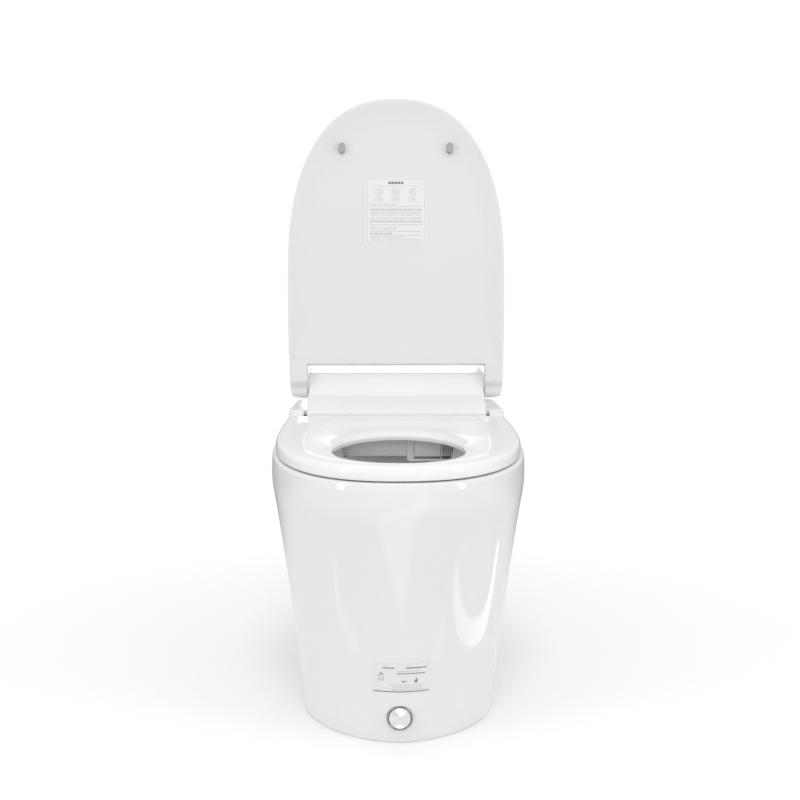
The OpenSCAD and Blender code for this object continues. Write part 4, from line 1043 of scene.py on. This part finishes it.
class CasingBuild(bpy.types.Operator):
    """Make the raised casing with its low decks, the tray plate beneath and its cover"""
    bl_idname = "toilet.casing"
    bl_label = "Casing"

    def execute(self, context):
        casing = context.scene.toilet_casing
        high = RIM_Z + 40 * MM
        cover = piece("casing_hood", flared(hood(casing.half_w, 0, 3 * MM), PLATE_Z, high))
        side = drawn_from(deck_points(casing.half_w - 1 * MM, 0), plan_view(PLATE_Z), DECK_Z - PLATE_Z)
        top = [e for e in side.edges if all(abs(v.co.z - DECK_Z) < 1e-6 for v in e.verts)
               and max(v.co.x for v in e.verts) > casing.half_w + MM]
        rounded(side, top, 3.5 * MM, 4)
        other = side.copy()
        bmesh.ops.scale(other, vec=(-1, 1, 1), verts=other.verts)
        bmesh.ops.reverse_faces(other, faces=other.faces)
        carved(cover, [side, other], "UNION")
        hollows = [hood(casing.half_w - 3 * MM, 3 * MM, 0)]
        for pin, r in ((LID_PIVOT, 8 * MM), (SEAT_PIVOT, 7 * MM)):
            hollows.append(rod((-0.17, pin.y, pin.z), (1, 0, 0), r, 0.34))
        for mirror in (1, -1):
            inner = [(x * mirror, s) for x, s in deck_points(casing.half_w + 2 * MM, 3 * MM)]
            hollows.append(drawn_from(inner, plan_view(PLATE_Z - MM), DECK_Z - PLATE_Z - 2 * MM))
        carved(cover, hollows)
        placed(cover, finishes()["casing_white"], "casing_top")
        refined("casing_base", "casing_tray", 0.8 * MM)
        refined("tray_cover", "tray_lid", 0.4 * MM)
        front = HINGE_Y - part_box("casing_base")[0].y
        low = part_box("casing_base")[0].z
        ridge = piece("tray_ridge", forward_block(-0.1195, 14 * MM, front - 1.5 * MM, front + 0.9 * MM, low
                                                  + 0.2 * MM,
                                                  low + 2.4 * MM, 0.7 * MM))
        detail(ridge, finishes()["casing_white"], "base", "casing_white")
        return {"FINISHED"}


# ---------------------------------------------------------------- wash unit in the opening
WAND_X = RECORD_JOINTS["pinion_spin"]["pos_m"][0] + 18 * MM
WAND_OUT = Vector(RECORD_JOINTS["wand_slide"]["axis"])


def wand_place():
    """The wand's own frame: Z runs back along the tube, Y across its top."""
    back = -WAND_OUT.normalized()
    up = Vector((0, -back.z, back.y))
    tip = Vector((WAND_X, HINGE_Y - 169 * MM, RIM_Z - 18.5 * MM))
    return Matrix.Translation(tip) @ Matrix((Vector((-1, 0, 0)), up, back)).transposed().to_4x4()


class WashBuild(bpy.types.Operator):
    """Make the wash unit's frame, the wand with its nose plate, and the dryer's ribbed outlet"""
    bl_idname = "toilet.wash"
    bl_label = "Wash unit"

    def execute(self, context):
        refined("wash_bezel", "wash_frame", 0.9 * MM)
        refined("wand_shutter", "nose_plate", 0.7 * MM)
        refined("dryer_grille", "dryer_ribs", 0.35 * MM, 2)
        r = 6.5 * MM
        tube = [(r, 20 * MM), (r, 149.6 * MM), (r - 0.4 * MM, 150 * MM), (0, 150 * MM), (0, 143 * MM),
                (r - 1.5 * MM, 143 * MM), (r - 1.5 * MM, 20 * MM), (r, 20 * MM)]
        placed(piece("wand_barrel", turned(tube, wand_place(), 96)), finishes()["wand_white"], "wand_tube")
        nose = [(r * sin(pi / 2 * i / 14), 6 * MM - r * cos(pi / 2 * i / 14)) for i in range(15)]
        nose += [(r, 17.6 * MM), (r - 0.35 * MM, 17.9 * MM), (r - 0.35 * MM, 18.5 * MM), (r, 18.8 * MM),
                 (r, 19.9 * MM), (0, 19.9 * MM)]
        tip = piece("wand_nose", turned(nose, wand_place(), 96))
        jets = [rod(wand_place() @ Vector((x * MM, 0, z * MM)), wand_place().to_3x3() @ Vector((0, 1, 0)),
                    0.9 * MM,
                    9 * MM, 24) for x, z in ((0, 8), (0, 14), (1.9, 11), (-1.9, 11))]
        placed(carved(tip, jets), finishes()["wand_white"], "wand_tip")
        return {"FINISHED"}


# ---------------------------------------------------------------- foot button
DOME_R = 41.5 * MM
DOME_CENTRE = -32 * MM      # height of the dome's centre above the button's seat


class ButtonBuild(bpy.types.Operator):
    """Make the foot button's ring and its domed cap"""
    bl_idname = "toilet.button"
    bl_label = "Foot button"

    def execute(self, context):
        button = context.scene.toilet_button
        r, c = button.ring_r, button.cap_r
        place = Matrix(((1, 0, 0, 0), (0, 0, -1, HINGE_Y - button_seat()), (0, 1, 0, BUTTON_Z), (0, 0, 0, 1)))
        sleeve = c + 1.5 * MM
        ring = [(r, -1.0), (r, 4.4), (r - 0.2 * MM, 5.5), (r - 0.7 * MM, 6.5), (r - 1.4 * MM, 7.0),
                (r - 2.1 * MM, 6.8),
                (r - 2.6 * MM, 6.1), (c + 0.5 * MM, 5.0), (c + 0.5 * MM, -4), (c - 3 * MM, -4),
                (c - 3 * MM, -32),
                (sleeve, -32), (sleeve, -1.0), (r, -1.0)]
        shape = turned([(a, b * MM) for a, b in ring], place, button.facets)
        # The ring takes the chrome darkened with painted shade, darker than the cap.
        placed(piece("button_collar", shape, 50), finishes()["ring_chrome_painted_shade"], "button_ring")
        face = 8 * MM
        dome = [c * 0.93 * i / 12 for i in range(13)]
        cap = [(a, DOME_CENTRE + sqrt(DOME_R ** 2 - a * a)) for a in dome]
        cap += [(c - 0.45 * MM, face - 1.3 * MM), (c - 0.12 * MM, face - 1.8 * MM), (c, face - 2.5 * MM),
                (c, face - 5.5 * MM), (4 * MM, face - 5.5 * MM), (4 * MM, -25.6 * MM), (3.6 * MM, -26 * MM),
                (0, -26 * MM)]
        placed(piece("button_dome", turned(cap, place, button.facets), 50), finishes()["chrome"],
               "button_cap")
        return {"FINISHED"}


# ---------------------------------------------------------------- printed labels
def lid_mark(x0, x1, u0, u1, v=-13.3, proud=0.06, edge=0.0):
    """A thin flat patch on the liner's label, in millimetres of the lid's frame."""
    bm = block((x0 * MM, -u1 * MM, (v - proud) * MM), (x1 * MM, -u0 * MM, v * MM))
    if edge:
        rounded(bm, [e for e in bm.edges if abs(e.verts[0].co.z - e.verts[1].co.z) > 1e-6], edge * MM, 4)
    bmesh.ops.transform(bm, matrix=lid_place(), verts=bm.verts)
    return bm


def lid_hoop(x, u, r, thick=0.8):
    """A printed circle on the liner's label."""
    profile = [(r, -0.06), (r, 0), (r - thick, 0), (r - thick, -0.06), (r, -0.06)]
    place = lid_place() @ Matrix.Translation((x * MM, -u * MM, -13.3 * MM))
    return turned([(a * MM, b * MM) for a, b in profile], place, 40)


def words(rng, x0, x1, low=3.0, high=11.0, gap=1.4):
    """Where the words of one printed line would stand."""
    out, x = [], x0
    while x < x1 - low:
        w = min(rng.uniform(low, high), x1 - x)
        out.append((x, x + w))
        x += w + gap
    return out


def lid_print():
    """Frame, header, three round symbols and lines of plain bars: dark marks, then pale ones."""
    rng = random.Random(11)
    dark, pale = [], []
    for x0, x1, u0, u1 in ((-51.4, 51.4, 377, 377.6), (-51.4, 51.4, 261.4, 262), (-51.4, -50.8, 261.4, 377.6),
                           (50.8, 51.4, 261.4, 377.6), (-45, 45, 364.6, 365.2)):
        pale.append(lid_mark(x0, x1, u0, u1))
    dark += [lid_mark(x, x + 4.6, 368.4, 372.6) for x in (-13.5, -7.9, -2.3, 3.3, 8.9)]
    for i, x in enumerate((-30, 0, 30)):
        pale.append(lid_hoop(x, 354, 6.6))
        if i == 0:
            pale += [lid_mark(x - 1.0, x + 0.2, 350, 358.6), lid_mark(x + 0.2, x + 3.0, 352, 353.2)]
        elif i == 1:
            pale += [lid_mark(x - 3.2, x + 3.2, 351 + 2.4 * k, 351.9 + 2.4 * k) for k in range(3)]
        else:
            pale += [lid_hoop(x, 354, 3.2, 0.7), lid_mark(x - 0.5, x + 0.5, 354, 358.8)]
        for k in range(3):
            half = rng.uniform(6, 9.5)
            pale += [lid_mark(a, b, 343.4 - 3.1 * k, 344.5 - 3.1 * k) for a,
                     b in words(rng, x - half, x + half, 2.5, 6)]
    u = 331.0
    while u > 265:
        wide = (-46, 46) if rng.random() < 0.62 else (-46, rng.uniform(-12, 20))
        ink = dark if rng.random() < 0.18 else pale
        for a, b in words(rng, *wide):
            ink.append(lid_mark(a, b, u, u + 1.05))
        u -= 3.4 if rng.random() < 0.75 else 5.4
    return dark, pale


def wall_patch(x0, x1, z0, z1, low=0.05, high=0.42, steps=1):
    """A thin patch that follows the pedestal's front wall, in millimetres."""
    rings = []
    rows = max(1, steps // 2)
    for k in range(rows + 1):
        z = (z0 + (z1 - z0) * k / rows) * MM
        across = [(x0 + (x1 - x0) * i / steps) * MM for i in range(steps + 1)]
        rings.append([wall_point(x, z, high * MM) for x in across] +
                     [wall_point(x, z, low * MM) for x in reversed(across)])
    return lofted(rings)


def wall_print():
    """A plain symbol, a pointer, and lines of bars on the pedestal's label: dark marks, then pale ones."""
    rng = random.Random(5)
    dark, pale = [], []

    def line(ink, x0, x1, z, tall, low, high):
        for a, b in words(rng, x0, x1, low, high, 0.9):
            ink.append(wall_patch(a, b, z, z + tall, 0.3, 0.44, 2))

    line(dark, -25, -5, 122.6, 2.0, 2.5, 6)
    line(dark, 9, 38, 122.6, 2.0, 2.5, 7)
    line(dark, -4, 36, 113.6, 1.7, 2.0, 6)
    line(pale, -4, 30, 117.8, 0.9, 2.0, 5)
    for x0, x1, z0, z1 in ((-30, -24, 112, 112.7), (-30, -29.3, 103, 112), (-24.7, -24, 103, 112),
                           (-30, -24, 103, 103.7),
                           (-28.6, -25.4, 113.4, 115.6)):
        dark.append(wall_patch(x0, x1, z0, z1, 0.3, 0.44, 1))
    for k in range(6):
        dark.append(wall_patch(20.5 + 0.75 * k, 25.5 - 0.25 * k, 99.5 + 1.6 * k, 101.1 + 1.6 * k, 0.3, 0.44,
                               1))
    line(dark, 3, 12, 100.5, 2.2, 2.0, 4)
    for z in (95, 91.6, 88.2):
        line(pale, -14 + rng.uniform(0, 4), 40 - rng.uniform(0, 8), z, 1.0, 1.6, 4.5)
    dark.append(wall_patch(-38.5, 42.5, 84.2, 85.8, 0.3, 0.44, 16))
    return dark, pale


class LabelBuild(bpy.types.Operator):
    """Make the two plain printed labels"""
    bl_idname = "toilet.labels"
    bl_label = "Labels"

    def execute(self, context):
        sets = finishes()
        film = piece("lid_sticker", lid_mark(-54, 54, 259, 380, -13.0, 0.3, 2.5))
        placed(film, sets["label_film"], "lid_label")
        film = piece("body_sticker", wall_patch(-40, 44, 82.5, 131.5, 0.05, 0.35, 24))
        placed(film, sets["label_film"], "body_label")
        for body, slot, marks in (("lid", "lid_print", lid_print()), ("base", "wall_print", wall_print())):
            for tone, ink, bars in (("dark", "ink", marks[0]), ("pale", "ink_pale", marks[1])):
                detail(piece(f"{slot}_{tone}", joined(bars), 50), sets[ink], body, "label_film")
        return {"FINISHED"}


# ---------------------------------------------------------------- fittings and inner works
FITTINGS = {
    "side_caps": ("anchor_caps", 1.2), "floor_brackets": ("floor_feet", 0.6),
    "inlet_fitting": ("inlet_union", 0.6),
    "cable_gland": ("cable_entry", 0.8), "seat_pins": ("seat_axles", 0.5), "lid_pins": ("lid_axles", 0.5),
    "hinge_bushes": ("hinge_sleeves", 0.3), "wand_rack": ("wand_teeth", 0.12),
    "wand_pinion": ("drive_gear", 0.12),
    "casing_screws": ("casing_bolts", 0.3), "seat_sensor": ("weight_pads", 0.5),
}


class FittingsBuild(bpy.types.Operator):
    """Make the small fittings that show, and give every inner part its finish"""
    bl_idname = "toilet.fittings"
    bl_label = "Fittings and inner works"

    def execute(self, context):
        for node, (name, edge) in FITTINGS.items():
            refined(node, name, edge * MM, 2, 35)
        sets = finishes()
        for node, obj in frame["nodes"].items():
            obj.data.materials.clear()
            obj.data.materials.append(sets[SLOT_OF[node]])
        return {"FINISHED"}


# ---------------------------------------------------------------- floor, lights, camera
def lamp(name, where, aim, size, watts, colour=(1, 1, 1)):
    """A soft rectangular light that looks at a point."""
    light = bpy.data.lights.new(name, "AREA")
    light.shape, light.energy, light.color = "RECTANGLE", watts, colour
    light.size, light.size_y = size
    obj = bpy.data.objects.new(name, light)
    turn = (Vector(aim) - Vector(where)).to_track_quat("-Z", "Y").to_matrix().to_4x4()
    obj.matrix_world = Matrix.Translation(where) @ turn
    bpy.context.scene.collection.objects.link(obj)
    return obj


def shown_white(tree, direct, other):
    """A level for what the camera sees directly, and another for what lights the object."""
    rays = add(tree, "LightPath").outputs["Is Camera Ray"]
    return add(tree, "Mix", data_type="FLOAT", i0=rays, i2=other, i3=direct).outputs[0]


def room(strength):
    """Even white surroundings, brighter in front and overhead than behind."""
    world = bpy.data.worlds.new("Studio")
    world.use_nodes = True
    tree = world.node_tree
    tree.nodes.clear()
    way = add(tree, "SeparateXYZ", Vector=add(tree, "TexCoord").outputs["Generated"]).outputs
    behind = spread(tree, way["Y"], -0.1, 0.9, 1.0, 0.8)
    above = spread(tree, way["Z"], 0.15, 0.8, 0.0, 1.0)
    even = maths(tree, "MULTIPLY", maths(tree, "MAXIMUM", behind, above), strength)
    back = add(tree, "Background", Color=(1.0, 1.0, 1.0, 1), Strength=shown_white(tree, 1.01, even))
    tree.links.new(back.outputs[0], add(tree, "OutputWorld").inputs["Surface"])
    bpy.context.scene.world = world


def floor_finish():
    """Pale matt floor that fades to plain white away from the object."""
    made = finish("Pale floor", (0.95, 0.95, 0.95), (0.935, 0.935, 0.935), tone=(0.5, 1.5),
                  gloss=(0.6, 0.75, 3.0),
                  ripple=(30.0, 400.0, 0.4, 0.0002), wear=(1.0, 0.05), dust=(2.0, 0.02))
    tree = made.node_tree
    shader = next(n for n in tree.nodes if n.type == "BSDF_PRINCIPLED")
    shader.inputs["Specular IOR Level"].default_value = 0.0
    away = add(tree, "VectorMath", operation="LENGTH", i0=own_space(tree)).outputs["Value"]
    depth = add(tree, "SeparateXYZ", Vector=own_space(tree)).outputs["Y"]
    behind = spread(tree, depth, 0.3, 1.2, 0.85, 0.35)
    glow = add(tree, "Emission", Color=(1.0, 1.0, 1.0, 1), Strength=shown_white(tree, 1.01, behind))
    both = add(tree, "MixShader", i0=spread(tree, away, 0.25, 0.95, 0.0, 1.0), i1=shader.outputs[0],
               i2=glow.outputs[0])
    out = next(n for n in tree.nodes if n.type == "OUTPUT_MATERIAL")
    tree.links.new(both.outputs[0], out.inputs["Surface"])
    return made


def glossy_only(name, strength):
    """Light that only shows as a reflection in glossy surfaces."""
    made = bpy.data.materials.new(name)
    made.use_nodes = True
    tree = made.node_tree
    tree.nodes.clear()
    rays = add(tree, "LightPath").outputs["Is Glossy Ray"]
    glow = add(tree, "Emission", Color=(1.0, 1.0, 1.0, 1), Strength=strength)
    clear = add(tree, "BsdfTransparent")
    both = add(tree, "MixShader", i0=rays, i1=clear.outputs[0], i2=glow.outputs[0])
    tree.links.new(both.outputs[0], add(tree, "OutputMaterial").inputs["Surface"])
    return made


def mirrored(eye, point, normal):
    """Direction in which the camera sees its surroundings at a shiny point."""
    look = (point - eye).normalized()
    return look - 2 * look.dot(normal) * normal


def ribbon(name, places, width, material):
    """A narrow light that follows a path, each place given with the direction it is seen from."""
    bm = bmesh.new()
    bmesh.ops.create_grid(bm, x_segments=len(places) - 1, y_segments=1, size=1.0)
    bm.verts.ensure_lookup_table()
    rows = sorted(bm.verts, key=lambda v: (round(v.co.y, 3), v.co.x))
    for side in (0, 1):
        for i, (spot, way) in enumerate(places):
            along = (places[min(i + 1, len(places) - 1)][0] - places[max(i - 1, 0)][0]).normalized()
            across = along.cross(way).normalized() * width / 2
            rows[side * len(places) + i].co = spot + across * (1 if side else -1)
    obj = piece(name, bm)
    obj.data.materials.append(material)
    return obj


def dome_point(x, z):
    """The place on the foot button's dome at a sideways distance and a height above its middle."""
    rise = DOME_CENTRE + sqrt(DOME_R ** 2 - x * x - z * z)
    return Vector((x, HINGE_Y - button_seat() - rise, BUTTON_Z + z))


def reflection(name, eye, surface, path, width, material):
    """A ribbon that a surface shows along a path of (sideways, height)."""
    places = []
    for x, z in smooth_rows(path, 6):
        point = surface(x, z)
        step = 0.2 * MM
        normal = (surface(x + step, z) - point).cross(surface(x, z + step) - point).normalized()
        way = mirrored(eye, point, normal)
        reach = 1.5 if way.z >= -0.02 else min(1.5, -0.9 * point.z / way.z)
        places.append((point + way * reach, way))
    return ribbon(name, places, width, material)


class StudioBuild(bpy.types.Operator):
    """Set up the pale floor, the soft light and the camera"""
    bl_idname = "toilet.studio"
    bl_label = "Floor, light and camera"

    def execute(self, context):
        studio = context.scene.toilet_studio
        bm = bmesh.new()
        bmesh.ops.create_grid(bm, x_segments=24, y_segments=24, size=30.0)
        floor = piece("floor", bm)
        floor.data.materials.append(floor_finish())
        room(studio.room)
        k = studio.soft_boxes
        lamp("left_box", (-1.9, -1.5, 1.1), (0, 0.0, 0.45), (0.45, 1.7), 8 * k, (1, 0.975, 0.955))
        lamp("right_box", (1.9, -1.3, 1.0), (0, 0.0, 0.4), (0.3, 1.4), 8 * k, (0.965, 0.985, 1))
        for name, where, aim, size, watts in (("front_box", (-0.2, -3.4, 2.0), (0, 0, 0.4), (1.8, 0.8), 4),
                                              ("bowl_fill", (0, -1.5, 2.2), (0, -0.1, 0.38), (0.5, 0.5), 7)):
            lamp(name, where, aim, size, watts * k).visible_glossy = False
        lens = bpy.data.cameras.new("camera")
        lens.sensor_width, lens.lens = 36, studio.focal
        camera = bpy.data.objects.new("camera", lens)
        pitch, yaw = 0.1404, 0.0137
        forward = Vector((sin(yaw) * cos(pitch), cos(yaw) * cos(pitch), -sin(pitch)))
        camera.matrix_world = (Matrix.Translation((-0.0236, -2.0015, 0.7553)) @
                               forward.to_track_quat("-Z", "Y").to_matrix().to_4x4())
        context.scene.collection.objects.link(camera)
        eye = camera.matrix_world.translation
        soft = glossy_only("Window light", 2.1)
        faint = glossy_only("Faint window light", 1.5)
        panel = glossy_only("Panel light", 1.7)
        right = [(0.078, 0.270), (0.082, 0.215), (0.095, 0.170), (0.112, 0.160), (0.127, 0.180),
                 (0.136, 0.230),
                 (0.143, 0.300)]
        left = [(-0.092, 0.290), (-0.090, 0.240), (-0.080, 0.190), (-0.060, 0.150)]
        middle = [(0.062, 0.200), (0.058, 0.165), (0.046, 0.140)]
        for i, (path, width, tone) in enumerate(((right, 0.045, soft), (left, 0.035, faint),
                                                 (middle, 0.03, faint))):
            reflection(f"window_{i}", eye, wall_point, path, width, tone)
        reflection("cap_light_high", eye, dome_point, [(0.001, 0.004), (0.004, 0.006), (0.008, 0.008)], 0.45,
                   panel)
        reflection("cap_light_low", eye, dome_point, [(0.0, -0.009), (0.0, -0.0115), (0.0, -0.014)], 0.02,
                   panel)
        ribbon("back_panel", [(Vector((x, 1.8, 0.72)), Vector((0, 1, 0))) for x in (-0.29, 0, 0.29)], 0.5,
               soft)
        context.scene.camera = camera
        context.scene.view_settings.view_transform = "Standard"
        context.scene.view_settings.look = "None"
        return {"FINISHED"}


# ---------------------------------------------------------------- panel and start
BUILDERS = (PedestalBuild, SeatBuild, LidBuild, CasingBuild, WashBuild, ButtonBuild, LabelBuild,
            FittingsBuild,
            StudioBuild)


class ToiletPanel(bpy.types.Panel):
    """Lists the steps that build the toilet"""
    bl_idname = "VIEW3D_PT_bidet_toilet"
    bl_label = "Bidet toilet"
    bl_space_type = "VIEW_3D"
    bl_region_type = "UI"
    bl_category = "Bidet toilet"

    def draw(self, context):
        for name in SETTINGS:
            box = self.layout.box()
            settings = getattr(context.scene, name)
            for field in settings.bl_rna.properties.keys():
                if field not in ("rna_type", "name"):
                    box.prop(settings, field)
        for builder in BUILDERS:
            self.layout.operator(builder.bl_idname)


def register():
    for cls in (*SETTINGS.values(), *BUILDERS, ToiletPanel):
        bpy.utils.register_class(cls)
    for name, cls in SETTINGS.items():
        setattr(bpy.types.Scene, name, PointerProperty(type=cls))


def unregister():
    for name in SETTINGS:
        delattr(bpy.types.Scene, name)
    for cls in reversed((*SETTINGS.values(), *BUILDERS, ToiletPanel)):
        bpy.utils.unregister_class(cls)


def main():
    register()
    bpy.ops.toilet.pedestal()
    bpy.ops.toilet.seat()
    bpy.ops.toilet.lid()
    bpy.ops.toilet.casing()
    bpy.ops.toilet.wash()
    bpy.ops.toilet.button()
    bpy.ops.toilet.labels()
    bpy.ops.toilet.fittings()
    bpy.ops.toilet.studio()


if __name__ == "__main__":
    main()
